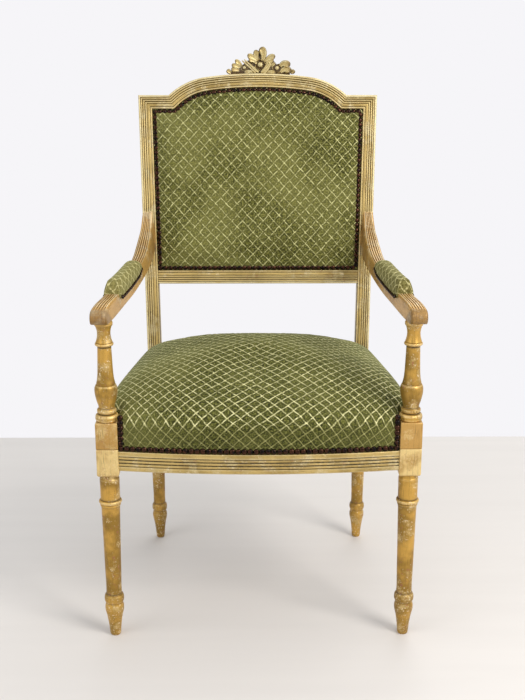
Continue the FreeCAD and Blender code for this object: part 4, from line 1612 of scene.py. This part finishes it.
    def build(self, finishes: Finishes) -> None:
        """Makes both arms, their pads and the pads' nails.

        Args:
            finishes: the chair's materials.
        """
        body = self.body()
        pad, places, normals = self.pad()
        nails = DomeNail(radius=3.7, height=2.2).heads(places, normals)
        for side in Side:
            shells = [body, pad, nails]
            if side is Side.LEFT:
                shells = [shell.mirrored() for shell in shells]
            wood = make_piece(f"arm_{side.word}_reeded", [shells[0]], finishes.arm, self.layout)
            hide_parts(f"arm_{side.word}")
            cover = make_piece(f"arm_pad_{side.word}", [shells[1]], finishes.pad_velvet, self.layout)
            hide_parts(f"arm_pad_cover_{side.word}", f"arm_pad_stuffing_{side.word}")
            heads = make_piece(f"arm_pad_nails_{side.word}", [shells[2]], finishes.bronze, self.layout)


def fan_shell(rings: np.ndarray, uv: np.ndarray) -> Shell:
    """A closed shell from closed rings that start and end at a point.

    Args:
        rings: points by ring and place; the first and last ring are near their middle.
        uv: metres for each of them.
    Returns:
        The shell, its first and last ring closed by a flat face.
    """
    return ring_shell(rings, None, np.concatenate([uv, uv[:, :1]], axis=1))


@dataclass(frozen=True)
class BackPanel:
    """Stuffed panel of the back, its nails and the outside cover."""

    layout: Layout
    back: BackFrame
    outside_inset: float = 16.0
    nail_step: float = 10.2
    held_rings: int = 54

    def level(self, edge: np.ndarray) -> np.ndarray:
        """How far the cover stands forward at a distance from its edge: a steep rise that flattens."""
        return -3.0 + 16.0 * (1 - np.exp(-edge / 19.0)) - 0.9 * np.exp(-(((edge - 5.5) / 3.0) ** 2))

    def panel(self) -> tuple[Shell, int]:
        """The stuffed panel: outlines shrunk to its middle, each at the level of its distance from the edge.

        Returns:
            The shell and the number of places in a ring.
        """
        loop = closed_line(self.back.loop(self.layout.moulding + 0.6), 5.0)
        centre = np.array([0.0, (self.back.low + self.layout.up_back(self.layout.arch_z)) / 2 + 6])
        share = np.concatenate([np.linspace(0.01, 0.86, 40), np.linspace(0.88, 1.0, 14)])
        flat = centre + (loop - centre)[None] * share[:, None, None]
        gap = np.linalg.norm(flat[:, :, None, :] - closed_line(loop, 3.0)[None, None], axis=-1).min(axis=-1)
        front = np.concatenate([flat, self.level(gap)[..., None]], axis=-1)
        rim = np.concatenate([flat[-1:], np.full((1, len(loop), 1), -4.8)], axis=-1)
        inner = np.concatenate([flat[:1], np.full((1, len(loop), 1), -4.8)], axis=-1)
        local = np.concatenate([front, rim, inner])
        return fan_shell(self.layout.from_back(local), local[..., :2] * MM), len(loop)

    def nails(self) -> tuple[np.ndarray, np.ndarray]:
        """Places and normals of the nails round the panel.

        Returns:
            Places and normals.
        """
        inset = self.layout.moulding + 5.6
        line = closed_line(self.back.loop(inset), self.nail_step)
        local = np.column_stack([line, np.full(len(line), self.level(np.array(5.0)) - 0.3)])
        places = self.layout.from_back(local)
        forward = self.layout.from_back(np.array([[0.0, 0.0, 1.0]])) - self.layout.from_back(np.zeros((1, 3)))
        return places, np.tile(forward[0], (len(places), 1))

    def outside(self) -> Shell:
        """The outside cover: a thin cloth panel behind the frame, a little hollow between its edges.

        Returns:
            The closed shell.
        """
        loop = closed_line(self.back.loop(self.outside_inset), 7.0)
        centre = np.array([0.0, (self.back.low + self.layout.up_back(self.layout.arch_z)) / 2])
        share = np.linspace(0.02, 1.0, 40)
        flat = centre + (loop - centre)[None] * share[:, None, None]
        gap = (1 - share)[:, None] * np.linalg.norm(loop - centre, axis=1)[None]
        thick = self.layout.frame_thick
        puff = 1.2 * (1 - np.exp(-gap / 12.0))
        rear = np.concatenate([flat, (-thick - 0.9 - puff)[..., None]], axis=-1)
        rim = np.concatenate([flat[-1:], np.full((1, len(loop), 1), -thick + 0.1)], axis=-1)
        inner = np.concatenate([flat[:1], np.full((1, len(loop), 1), -thick + 0.1)], axis=-1)
        local = np.concatenate([rear, rim, inner])
        return fan_shell(self.layout.from_back(local), local[..., :2] * MM)

    def outside_nails(self) -> tuple[np.ndarray, np.ndarray]:
        """Small nails round the outside cover.

        Returns:
            Places and normals.
        """
        line = closed_line(self.back.loop(20.0), 14.0)
        local = np.column_stack([line, np.full(len(line), -self.layout.frame_thick - 1.6)])
        backward = self.layout.from_back(np.zeros((1, 3))) - self.layout.from_back(np.array([[0.0, 0.0, 1.0]]))
        return self.layout.from_back(local), np.tile(backward[0], (len(line), 1))

    def build(self, finishes: Finishes) -> None:
        """Makes the panel, its nails and the outside cover.

        Args:
            finishes: the chair's materials.
        """
        shell, places = self.panel()
        panel = make_piece("back_panel", [shell], finishes.velvet, self.layout)
        rings = np.arange(len(shell.points) // places)
        settle(panel, np.repeat(np.clip((self.held_rings - rings) / 12, 0, 1), places), 2.5 * MM)
        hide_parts("back_cover", "back_stuffing", "back_hessian", "back_webbing")
        heads = DomeNail().heads(*self.nails())
        nails = make_piece("back_nails", [heads], finishes.bronze, self.layout)
        outside = make_piece("back_outside_cloth", [self.outside()], finishes.outside, self.layout)
        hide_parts("back_outside_cover")
        stretch(outside, self.back.loop(self.outside_inset) * MM)
        tacks = DomeNail(radius=3.4, height=1.8).heads(*self.outside_nails())
        rear_nails = make_piece("back_outside_nails", [tacks], finishes.bronze, self.layout)


@dataclass(frozen=True)
class Seat:
    """The stuffed seat over its rails, its nails, and the webbing and hessian beneath."""

    layout: Layout
    rails: SeatFrame
    middle_y: float = 190.0
    edge_level: float = 398.0
    inset: float = 3.6
    held_rings: int = 58
    strap_step: float = 80.0
    strap_half: float = 24.5
    strap_middle: float = 195.0
    sacking_share: float = 0.985
    lengthwise: Line = (
        (-36, 398), (-33.5, 414), (-27, 427), (-12, 440), (15, 454), (60, 472), (120, 490), (200, 504),
        (270, 502), (330, 489), (375, 467), (400, 441), (411, 408),
    )
    crosswise: Line = (
        (-281, 398), (-280, 415), (-277, 431), (-271, 446), (-262, 457), (-247, 466), (-232, 472), (-200, 480),
        (-160, 488), (-100, 498), (-50, 503), (0, 505),
    )
    cloth_line: Line = (
        (-36, 398), (-27, 426), (15, 452), (120, 488), (200, 501), (330, 485), (400, 440), (411, 410),
    )

    def side_x(self, y: float) -> float:
        """X of the cover's side at y, a little inside the side rail's face."""
        start, end = self.rails.side_line()
        return start[0] - self.inset + (y - start[1]) * (end[0] - start[0]) / (end[1] - start[1])

    def outline(self, notched: bool) -> np.ndarray:
        """Plan of the cover's outer face on the right half, from the front's middle to the rear's, as a line.

        Args:
            notched: whether it turns in round the blocks.
        Returns:
            Points (x, y).
        """
        layout = self.layout
        rear_y = layout.rear_y + layout.rear_block / 2 - 3 - self.inset
        notch_x, notch_y = self.rails.inner - 0.8, layout.front_block / 2 + 1.8
        rear_x, rear_notch = layout.rear_x - layout.rear_block / 2 - 0.8, layout.rear_y - layout.rear_block / 2 - 1.8
        if notched:
            bow = np.linspace(0, notch_x, 60)
            corner = [(notch_x, notch_y), (self.side_x(notch_y), notch_y)]
            rear = [(self.side_x(rear_notch), rear_notch), (rear_x, rear_notch), (rear_x, rear_y)]
        else:
            bow = np.linspace(0, self.side_x(0.0) - 4, 60)
            corner = [(self.side_x(-8.0), -8.0)]
            rear = [(self.side_x(rear_y), rear_y)]
        front = np.column_stack([bow, self.rails.bow_y(bow) + self.inset])
        return np.vstack([front, corner, rear, [(0.0, rear_y)]])

    def loops(self) -> tuple[np.ndarray, np.ndarray]:
        """The notched and the plain outline round the whole seat, matched along rays from the middle.

        Returns:
            The notched and the plain one, point by point.
        """
        whole = []
        for notched in (True, False):
            half = self.outline(notched)
            whole.append(np.vstack([half, (half * FLIP)[::-1][1:-1]]))
        notched = closed_line(whole[0], 5.5)
        centre = np.array([0.0, self.middle_y])
        offset = notched - centre
        angle = np.arctan2(offset[:, 1], offset[:, 0])
        dense = closed_line(whole[1], 1.0) - centre
        dense_angle = np.arctan2(dense[:, 1], dense[:, 0])
        order = np.argsort(dense_angle)
        reach = np.interp(angle, dense_angle[order], np.linalg.norm(dense, axis=1)[order], period=2 * math.pi)
        plain = centre + np.column_stack([np.cos(angle), np.sin(angle)]) * reach[:, None]
        return notched, plain

    def height(self, x: np.ndarray, y: np.ndarray) -> np.ndarray:
        """Height of the crowned top.

        The falls of the lengthwise and the crosswise profile from the crown are joined as the sides of a
        right-angled triangle are, with 2.2 for the power.

        Args:
            x: places across.
            y: places along.
        Returns:
            Heights.
        """
        start, end = self.rails.side_line()
        half = start[0] + (y - start[1]) * (end[0] - start[0]) / (end[1] - start[1])
        front = self.rails.bow_y(np.clip(np.abs(x), 0, 280)) - self.layout.rail_middle_y
        along = smooth_line(self.lengthwise, 300)
        across = smooth_line(self.crosswise, 300)
        base, high = self.edge_level, self.crosswise[-1][1]
        zy = np.interp(y - front * np.clip(1 - y / 120, 0, 1), along[:, 0], along[:, 1])
        spread = np.clip(280.0 / half, 0.9, 1.35)
        zx = np.interp(-np.abs(x) * spread, across[:, 0], across[:, 1])
        low_y, low_x = np.clip((high - zy) / (high - base), 0, 1), np.clip((high - zx) / (high - base), 0, 1)
        return base + (high - base) * (1 - np.clip((low_y**2.2 + low_x**2.2) ** (1 / 2.2), 0, 1))

    def cushion(self) -> tuple[Shell, int]:
        """The seat: shrunk outlines at the crown's height, then walls down to the nails and a flat underside.

        Returns:
            The shell and the number of places in a ring.
        """
        notched, plain = self.loops()
        centre = np.array([0.0, self.middle_y])
        share = np.concatenate([np.linspace(0.012, 0.86, 44), np.linspace(0.875, 1.0, 14)])
        blend = np.clip((share - 0.80) / 0.20, 0, 1)
        blend = (blend * blend * (3 - 2 * blend))[:, None, None]
        flat = centre + (plain - centre)[None] * share[:, None, None]
        flat = flat + (notched - plain)[None] * blend
        top = self.height(flat[..., 0], flat[..., 1])
        dip = np.clip(np.linalg.norm(plain - notched, axis=1) / 12.0, 0, 1)[None]
        edge = (1 - share)[:, None] * np.linalg.norm(plain - centre, axis=1)[None]
        top = top - 7.0 * dip * np.exp(-edge / 7.0)
        rows = [np.concatenate([flat, top[..., None]], axis=-1)]
        rim = flat[-1]
        tangent = np.roll(rim, -1, axis=0) - np.roll(rim, 1, axis=0)
        tangent /= np.linalg.norm(tangent, axis=1, keepdims=True)
        out = np.column_stack([tangent[:, 1], -tangent[:, 0]])
        out *= np.sign(np.einsum("ij,ij->i", out, rim - centre))[:, None]
        bottom = self.layout.rail_moulded + 0.6
        fall = np.linspace(0, 1, 9)[1:]
        swell = 2.4 * (1 - dip[0])
        for part in fall:
            bulge = swell * math.sin(math.pi * min(part * 1.1, 1.0))
            z = top[-1] * (1 - part) + bottom * part
            rows.append(np.concatenate([rim + out * bulge[:, None], z[:, None]], axis=-1)[None])
        under = np.concatenate([centre + (rim - centre) * 0.9, np.full((len(rim), 1), 386.0)], axis=-1)
        inner = np.concatenate([centre + (rim - centre) * 0.02, np.full((len(rim), 1), 388.6)], axis=-1)
        rows += [under[None], inner[None]]
        grid = np.concatenate(rows)
        return fan_shell(grid, self.cloth_map(grid, len(share), out)), len(rim)

    def cloth_map(self, grid: np.ndarray, tops: int, out: np.ndarray) -> np.ndarray:
        """UV in metres: on top the plan stretched by the slope, on a wall the rim's UV moved outward as it falls.

        Args:
            grid: the seat's rings.
            tops: number of rings on top.
            out: the rim's outward directions.
        Returns:
            UV for each point, in metres.
        """
        line = smooth_line(self.cloth_line, 200)
        x, y = grid[:tops, :, 0], grid[:tops, :, 1]
        v = np.interp(y, line[:, 0], lengths(line))
        slope = np.abs(x) ** 3 / 280.0**2
        u = x + np.sign(x) * slope * 0.18
        uv = np.zeros((*grid.shape[:2], 2))
        uv[:tops] = np.stack([u, v], axis=-1)
        for row in range(tops, len(grid)):
            drop = grid[tops - 1, :, 2] - grid[row, :, 2]
            uv[row] = uv[tops - 1] + out * drop[:, None]
        return uv * np.array([0.93, 1.1]) * MM

    def nails(self) -> tuple[np.ndarray, np.ndarray]:
        """Nails along the cover's lower edge between the blocks, and up beside the front blocks.

        Returns:
            Places and normals.
        """
        layout = self.layout
        z = layout.rail_moulded + 5.4
        notch = self.rails.inner
        x = np.linspace(-notch + 5, notch - 5, 48)
        front = np.column_stack([x, self.rails.bow_y(x) + 2.6, np.full_like(x, z)])
        rows, normals = [front], [np.tile([0.0, -1.0, 0.0], (len(x), 1))]
        start, end = self.rails.side_line()
        share = np.linspace(0.02, 0.985, 35)[:, None]
        line = start * (1 - share) + end * share
        along = (end - start) / np.linalg.norm(end - start)
        face = np.array([along[1], -along[0]])
        for sign in (-1.0, 1.0):
            spots = np.column_stack([(line[:, 0] - 2.8) * sign, line[:, 1], np.full(len(line), z)])
            rows.append(spots)
            normals.append(np.tile([face[0] * sign, face[1], 0.0], (len(line), 1)))
        rear_x = np.linspace(-190, 190, 36)
        rear_y = layout.rear_y + layout.rear_block / 2 - 3 - 2.6
        rows.append(np.column_stack([rear_x, np.full_like(rear_x, rear_y), np.full_like(rear_x, z)]))
        normals.append(np.tile([0.0, 1.0, 0.0], (len(rear_x), 1)))
        up = np.linspace(z + 10, 428, 6)
        for sign in (-1.0, 1.0):
            post = np.full_like(up, (notch - 5.2) * sign)
            face_y = self.rails.bow_y(np.abs(post)) + 1.6
            rows.append(np.column_stack([post, face_y, up]))
            normals.append(np.tile([0.0, -1.0, 0.15], (len(up), 1)))
        return np.vstack(rows), np.vstack(normals)

    def straps(self) -> list[Shell]:
        """Jute straps woven over and under: a strap's height is a wave with a half turn at each crossing.

        Returns:
            One shell a strap.
        """
        half, level, step = self.strap_half, self.layout.rail_top + 1.3, self.strap_step
        shells = []
        columns = (np.arange(5) - 2.0) * step
        rows = self.strap_middle + (np.arange(4) - 1.5) * step
        for number, x in enumerate(columns):
            y = np.linspace(self.rails.bow_y(np.array(abs(x))) + 12, 402, 60)
            wave = 0.9 * np.cos((y - rows[0]) / step * math.pi) * (-1) ** number
            shells.append(self.strap(np.column_stack([np.full_like(y, x), y, level + wave]), X_AXIS, half))
        for number, y in enumerate(rows):
            reach = 262 - (y - 19.5) * 0.135
            x = np.linspace(-reach, reach, 70)
            wave = -0.9 * np.cos((x - columns[0]) / step * math.pi) * (-1) ** number
            shells.append(self.strap(np.column_stack([x, np.full_like(x, y), level + wave]), Y_AXIS, half))
        return shells

    def strap(self, line: np.ndarray, across: np.ndarray, half: float) -> Shell:
        """A flat strap with selvedge lines along a line of points.

        Args:
            line: its middle line.
            across: the direction of its width.
            half: half its width.
        Returns:
            The closed shell.
        """
        offsets = np.array([-half, -half + 2, 0.0, half - 2, half])
        upper = line[:, None] + across * offsets[None, :, None] + Z_AXIS * 0.5
        lower = (line[:, None] + across * offsets[None, :, None] - Z_AXIS * 0.5)[:, ::-1]
        return ring_shell(np.concatenate([upper, lower], axis=1))

    def hessian(self) -> Shell:
        """The hessian sheet above the straps, sagging a little between them.

        Returns:
            The closed shell.
        """
        notched, _ = self.loops()
        centre = np.array([0.0, self.middle_y])
        share = np.linspace(0.02, self.sacking_share, 46)
        flat = centre + (notched - centre)[None] * share[:, None, None]
        turn = (flat - np.array([0.0, self.strap_middle])) / self.strap_step * 2 * math.pi
        sag = 0.5 * np.cos(turn[..., 0]) * np.cos(turn[..., 1])
        level = self.layout.rail_top + 3.3
        low = np.concatenate([flat, (level + sag)[..., None]], axis=-1)
        high = (low + Z_AXIS * 0.7)[::-1]
        grid = np.concatenate([low, high])
        return fan_shell(grid, grid[..., :2] * MM)

    def build(self, finishes: Finishes) -> None:
        """Makes the seat, its nails, the straps and the hessian.

        Args:
            finishes: the chair's materials.
        """
        shell, places = self.cushion()
        cushion = make_piece("seat_cushion", [shell], finishes.seat_velvet, self.layout)
        rings = np.arange(len(shell.points) // places)
        settle(cushion, np.repeat(np.clip((self.held_rings - rings) / 40, 0, 1), places), 2.0 * MM)
        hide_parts("seat_cover", "seat_stuffing")
        heads = DomeNail().heads(*self.nails())
        nails = make_piece("seat_nails", [heads], finishes.bronze, self.layout)
        webbing = make_piece("seat_straps", self.straps(), finishes.jute, self.layout)
        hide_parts("seat_webbing")
        sacking = make_piece("seat_sacking", [self.hessian()], finishes.hessian, self.layout)
        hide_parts("seat_hessian")
        stretch(sacking, self.loops()[0] * self.sacking_share * MM)


class Form(Enum):
    """How a carved stroke's width runs from its start to its end."""

    LEAF = "leaf"
    STEM = "stem"

    def width(self, t: np.ndarray) -> np.ndarray:
        """Share of the full width along the stroke: a leaf swells to a round end, a stem tapers by half.

        Args:
            t: places from 0 to 1 along the stroke.
        Returns:
            The share at each place.
        """
        if self is Form.LEAF:
            return (0.34 + 0.76 * t) * np.sqrt(np.clip(1.0 - t**6, 0.004, 1))
        return (1.0 - 0.5 * t) * np.clip(12 * np.minimum(t + 0.02, 1.02 - t), 0, 1) ** 0.5


@dataclass(frozen=True)
class Stroke:
    """One carved stem, leaf or petal, in millimetres right and up from the arch's middle."""

    start: tuple[float, float]
    bend: tuple[float, float]
    end: tuple[float, float]
    wide: float
    front: float
    curl: float = 2.0
    form: Form = Form.LEAF

    def shell(self) -> Shell:
        """The stroke as a tube: its ring is an ellipse with a vein pressed in its front.

        The centre runs on the curve (1-t)^2 start + 2t(1-t) bend + t^2 end, and its level rises by the curl.

        Returns:
            The closed shell.
        """
        t = np.sin(np.linspace(0, math.pi / 2, 20))[:, None]
        start, bend, end = (np.array(value) for value in (self.start, self.bend, self.end))
        line = (1 - t) ** 2 * start + 2 * t * (1 - t) * bend + t**2 * end
        ahead = np.gradient(line, axis=0)
        ahead /= np.linalg.norm(ahead, axis=1, keepdims=True)
        across = np.column_stack([ahead[:, 1], -ahead[:, 0]])
        half = (1.5 if self.form is Form.LEAF else 1.2) * self.wide * self.form.width(t[:, 0])
        angle = np.linspace(0, 2 * math.pi, 14, endpoint=False)
        press = 0.5 * np.exp(-((np.cos(angle) / 0.3) ** 2)) * (np.sin(angle) > 0)
        deep = 0.62 * half + 1.2
        level = self.front - 3.5 + self.curl * np.sin(t[:, 0] * math.pi * 0.6) + self.curl * t[:, 0] ** 2
        flat = line[:, None] + across[:, None] * (half[:, None] * np.cos(angle))[..., None]
        rise = level[:, None] + deep[:, None] * np.sin(angle) - press * half[:, None]
        # Painted shade: the recess rises on the stroke's sides and underside, in its vein and, on a leaf, towards its
        # tip, so these parts are painted dark.
        edge = np.clip(1 - np.sin(angle) * 1.6, 0, 1)
        tip = 0.66 * np.clip((t - 0.62) / 0.3, 0, 1) * (self.form is Form.LEAF)
        shade = np.clip(np.maximum(np.maximum(edge, press * 1.2), tip), 0, 1)
        return ring_shell(np.concatenate([flat, rise[..., None]], axis=-1), shade)


@dataclass(frozen=True)
class Rosette:
    """A flower of a few petals round a bud, turned about the forward direction."""

    middle: tuple[float, float]
    radius: float
    front: float
    petals: int = 5

    def shell(self) -> Shell:
        """Rings from the back to the bud's tip; a ring's radius waves once for each petal.

        Returns:
            The closed shell.
        """
        # Painted shade: the back ring and the cup round the bud get a high recess.
        rows = [(0.7, -9.0, 1.0), (0.98, -4.5, 0.9), (1.0, -2.6, 0.3), (0.92, -1.0, 0.0), (0.82, -2.4, 0.7)]
        rows += [(0.64, -5.0, 1.0), (0.52, -4.6, 1.0), (0.48, -1.6, 0.5), (0.35, 0.5, 0.0), (0.12, 1.5, 0.0)]
        turn = np.linspace(0, 2 * math.pi, 30, endpoint=False)
        grid, shade = [], []
        for share, level, recess in rows:
            wave = 1 + 0.16 * np.cos(self.petals * turn) * float(share > 0.6)
            reach = self.radius * share * wave
            flat = np.column_stack([reach * np.cos(turn), reach * np.sin(turn)]) + np.array(self.middle)
            grid.append(np.column_stack([flat, np.full(len(turn), self.front + level)]))
            # Painted shade in the clefts between the petals.
            shade.append(np.clip(recess + 0.5 * (np.cos(self.petals * turn) < -0.6), 0, 1))
        return ring_shell(np.stack(grid), np.stack(shade))


@dataclass(frozen=True)
class CrestCarving:
    """The flowers and leaves carved over the crest's middle."""

    layout: Layout
    back: BackFrame
    shift: float = 6.0
    rosettes: tuple[Rosette, ...] = (
        Rosette((-0.7, 17.5), 11.5, 1.0, 7),
        Rosette((-33.2, 11.8), 7.6, -1.0),
        Rosette((33.6, 11.0), 9.2, -0.5, 6),
    )
    strokes: tuple[Stroke, ...] = (
        Stroke((3.6, 26.0), (10.5, 40.0), (-0.5, 51.0), 6.4, 0.0, 2.5),
        Stroke((-4.0, 26.5), (-12.5, 35.0), (-7.0, 46.5), 4.8, -1.5, 2.5),
        Stroke((-3.0, 44.0), (0.5, 50.5), (4.5, 49.0), 3.0, 1.5, 1.5),
        Stroke((-5.0, 24.0), (-16.0, 36.0), (-27.0, 34.0), 5.0, -1.0, 2.0),
        Stroke((-7.5, 20.0), (-17.0, 28.5), (-24.0, 26.0), 4.0, 0.0, 1.5),
        Stroke((9.0, 24.0), (19.5, 37.0), (29.0, 30.5), 5.6, -1.0, 2.0),
        Stroke((11.0, 19.0), (19.0, 28.0), (26.0, 23.5), 4.2, 0.0, 1.5),
        Stroke((-4.0, 2.0), (-17.0, 14.0), (-33.5, 28.0), 2.3, 1.5, 0.8, Form.STEM),
        Stroke((-9.5, 1.5), (-23.0, 14.0), (-38.0, 26.0), 2.2, 0.5, 0.8, Form.STEM),
        Stroke((1.0, 2.0), (10.5, 9.0), (15.5, 24.5), 2.4, 1.5, 0.8, Form.STEM),
        Stroke((4.5, 1.5), (17.0, 10.0), (22.0, 26.5), 4.4, 0.0, 1.2, Form.STEM),
        Stroke((-39.0, 15.0), (-45.0, 25.0), (-52.0, 22.5), 4.8, -2.0, 2.0),
        Stroke((-40.5, 11.0), (-49.0, 17.5), (-59.0, 15.0), 4.3, -2.5, 2.0),
        Stroke((-41.0, 5.5), (-50.0, 9.5), (-60.0, 7.0), 4.4, -3.0, 2.0),
        Stroke((-55.0, 0.5), (-63.0, 2.0), (-68.5, 8.0), 4.0, -4.0, 1.5),
        Stroke((40.0, 14.0), (46.0, 25.0), (59.0, 13.5), 6.8, -2.0, 2.5),
        Stroke((41.0, 2.5), (50.0, 13.5), (60.5, 3.0), 6.2, -2.0, 2.5),
        Stroke((56.0, 1.0), (64.0, 9.0), (68.0, 0.0), 4.4, -3.5, 1.5),
        Stroke((-12.0, 2.5), (-22.0, 6.5), (-34.0, 2.0), 3.4, -2.0, 1.0),
        Stroke((10.0, 2.5), (20.0, 6.0), (30.0, 1.5), 3.4, -2.0, 1.0),
        Stroke((-22.0, 13.0), (-26.0, 21.0), (-33.0, 20.0), 3.6, -2.5, 1.0),
        Stroke((21.0, 12.0), (24.0, 19.0), (29.5, 20.0), 3.6, -2.5, 1.0),
    )

    def ground(self) -> Shell:
        """The ground behind the flowers, painted dark as the shade between them: a low ridge that follows the arch, a
        circle of known radius.

        Returns:
            The closed shell.
        """
        radius, _, _ = self.back.arcs()
        u = np.linspace(-61, 60, 60)
        drop = radius - np.sqrt(radius**2 - (u + self.shift) ** 2)
        outline = np.array([
            (-61, 4), (-54, 16), (-46, 20), (-36, 19), (-28, 27), (-15, 30), (-8, 40), (0, 44), (8, 38),
            (15, 31), (26, 28), (34, 19), (44, 20), (54, 15), (61, 3),
        ])
        high = np.interp(u, outline[:, 0], outline[:, 1])
        low = -drop - 2.0
        middle, half = (high + low) / 2, (high - low) / 2
        angle = np.linspace(0, 2 * math.pi, 16, endpoint=False)
        w = middle[:, None] + half[:, None] * np.sign(np.sin(angle)) * np.abs(np.sin(angle)) ** 0.7
        n = -13.5 + 7.0 * np.sign(np.cos(angle)) * np.abs(np.cos(angle)) ** 0.6 + 0 * w
        grid = np.stack([np.broadcast_to(u[:, None], w.shape), w, n], axis=-1)
        # Recess 0.9 paints the whole ground in shade.
        return ring_shell(grid, np.full(16, 0.9))

    def build(self, finishes: Finishes) -> None:
        """Makes the carving as one piece.

        Args:
            finishes: the chair's materials.
        """
        lift = np.array([self.shift, self.layout.up_back(self.layout.arch_z), -3.0])
        shells = []
        for flat in [self.ground()] + [part.shell() for part in self.strokes + self.rosettes]:
            points = self.layout.from_back(flat.points + lift * np.array([1.0, 1.0, float(len(shells) > 0)]))
            shells.append(Shell(points, flat.faces, flat.uvs, flat.recess).outward())
        piece = make_piece("crest_carving_flowers", shells, finishes.carving, self.layout)
        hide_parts("crest_carving")


@dataclass(frozen=True)
class Studio:
    """Floor, backdrop, lamps and camera."""

    focal_px: float = 1080.0
    image_high: int = 700
    camera_height: float = 1.0444
    camera_ahead: float = 1.796
    camera_x: float = -0.008
    pitch: float = 15.52
    yaw: float = 0.45
    floor_colour: Colour = srgb(217, 212, 207)
    wall_colour: Colour = srgb(246, 245, 248)
    wall_ahead: float = 1.053
    sky_colour: Colour = (0.95, 0.97, 1.0)
    sky_towards: tuple[float, float, float] = (0.45, -0.25, 0.75)

    def camera(self, layout: Layout) -> None:
        """The camera at the photograph's place.

        Args:
            layout: the chair's sizes.
        """
        data = bpy.data.cameras.new("camera")
        data.lens = self.focal_px * 36 / self.image_high
        data.sensor_width = 36
        data.clip_start = 0.05
        camera = bpy.data.objects.new("camera", data)
        camera.location = (self.camera_x, layout.axis_y * MM - self.camera_ahead, self.camera_height)
        camera.rotation_euler = Euler((math.radians(90 - self.pitch), 0.0, math.radians(-self.yaw)))
        bpy.context.scene.collection.objects.link(camera)
        bpy.context.scene.camera = camera

    def floor(self, layout: Layout) -> None:
        """A wide plain floor that turns into the pale backdrop behind the wall's line.

        Args:
            layout: the chair's sizes.
        """
        reach = 14.0
        mesh = bpy.data.meshes.new("floor")
        corners = [(-reach, -reach, 0), (reach, -reach, 0), (reach, reach, 0), (-reach, reach, 0)]
        mesh.from_pydata(corners, [], [(0, 1, 2, 3)])
        paint = Paint("pale_floor")
        where = paint.where()
        line = layout.axis_y * MM + self.wall_ahead
        behind = paint.part(where, "Y").step(line - 0.004, line + 0.004)
        streak = paint.noise(paint.stretched(where, (1.2, 16.0, 1.0)), 1.0, 4.0)
        colour = paint.mix(streak.step(0.3, 0.7) * 0.22, self.floor_colour, srgb(206, 201, 196))
        paint.set(Base_Color=colour, Roughness=0.55, Specular_IOR_Level=0.25)
        glow = paint.node("Emission", None, {"Color": (*self.wall_colour, 1.0), "Strength": 1.0})
        made = paint.node("MixShader", None, {0: behind, 1: Sock(paint.tree, paint.shader.outputs[0]), 2: glow})
        paint.tree.links.new(made.out, paint.output.inputs["Surface"])
        mesh.materials.append(paint.material)
        floor = bpy.data.objects.new("floor", mesh)
        bpy.context.scene.collection.objects.link(floor)

    def world(self) -> None:
        """A soft light, stronger from above and the right, seen as the pale wall by the camera."""
        world = bpy.data.worlds.new("studio")
        world.use_nodes = True
        bpy.context.scene.world = world
        world.node_tree.nodes.clear()
        graph = Graph(world.node_tree)
        direct, through = (graph.node("LightPath", None, None, f"Is {kind} Ray") for kind in ("Camera", "Transmission"))
        place = graph.node("TexCoord", None, None, "Generated")
        towards = graph.node("VectorMath", {"operation": "DOT_PRODUCT"}, {0: place, 1: self.sky_towards}, "Value")
        glow = 0.30 + 0.75 * towards.step(-0.5, 0.9)
        lit = graph.node("Background", None, {"Color": (*self.sky_colour, 1.0), "Strength": glow})
        wall = graph.node("Background", None, {"Color": (*self.wall_colour, 1.0)})
        seen = graph.node("MixShader", None, {0: direct.top(through), 1: lit, 2: wall})
        output = graph.tree.nodes.new("ShaderNodeOutputWorld")
        graph.tree.links.new(seen.out, output.inputs[0])

    def lamp(self, name: str, place: tuple[float, float, float], size: float, watts: float, colour: Colour) -> None:
        """A square soft lamp aimed at the chair's middle.

        Args:
            name: the lamp's name.
            place: where it stands, in metres.
            size: its side in metres.
            watts: its power.
            colour: its light's colour.
        """
        data = bpy.data.lights.new(name, "AREA")
        data.shape = "SQUARE"
        data.size = size
        data.energy = watts
        data.color = colour
        lamp = bpy.data.objects.new(name, data)
        lamp.location = place
        aim = Vector((0.0, 0.0, 0.5)) - lamp.location
        lamp.rotation_euler = aim.to_track_quat("-Z", "Y").to_euler()
        bpy.context.scene.collection.objects.link(lamp)

    def build(self, layout: Layout) -> None:
        """Sets up the whole studio.

        Args:
            layout: the chair's sizes.
        """
        self.camera(layout)
        self.floor(layout)
        self.world()
        self.lamp("window", (1.8, -1.7, 2.2), 1.1, 54.0, (1.0, 0.97, 0.93))
        self.lamp("fill", (-2.4, -1.6, 1.6), 2.0, 22.0, (0.96, 0.98, 1.0))
        self.lamp("rear", (0.6, 2.4, 2.4), 2.0, 20.0, (1.0, 1.0, 1.0))
        bpy.context.scene.view_settings.view_transform = "Standard"


def dress_hidden(finishes: Finishes) -> None:
    """Gives bare beech to the nodes that stay as they came: the corner blocks.

    Args:
        finishes: the chair's materials.
    """
    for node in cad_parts.values():
        if node.hide_render:
            continue
        node.data.materials.clear()
        node.data.materials.append(finishes.beech)


def main() -> None:
    """Builds the chair's pieces in order."""
    logging.basicConfig(level=logging.INFO, format="%(message)s")
    layout = Layout()
    Studio().build(layout)
    finishes = Finishes()
    back = BackFrame(layout)
    rails = SeatFrame(layout)
    back.build(finishes)
    rails.build(finishes)
    Turnings(layout).build(finishes, back)
    Arm(layout).build(finishes)
    CrestCarving(layout, back).build(finishes)
    BackPanel(layout, back).build(finishes)
    Seat(layout, rails).build(finishes)
    dress_hidden(finishes)


if __name__ == "__main__":
    main()
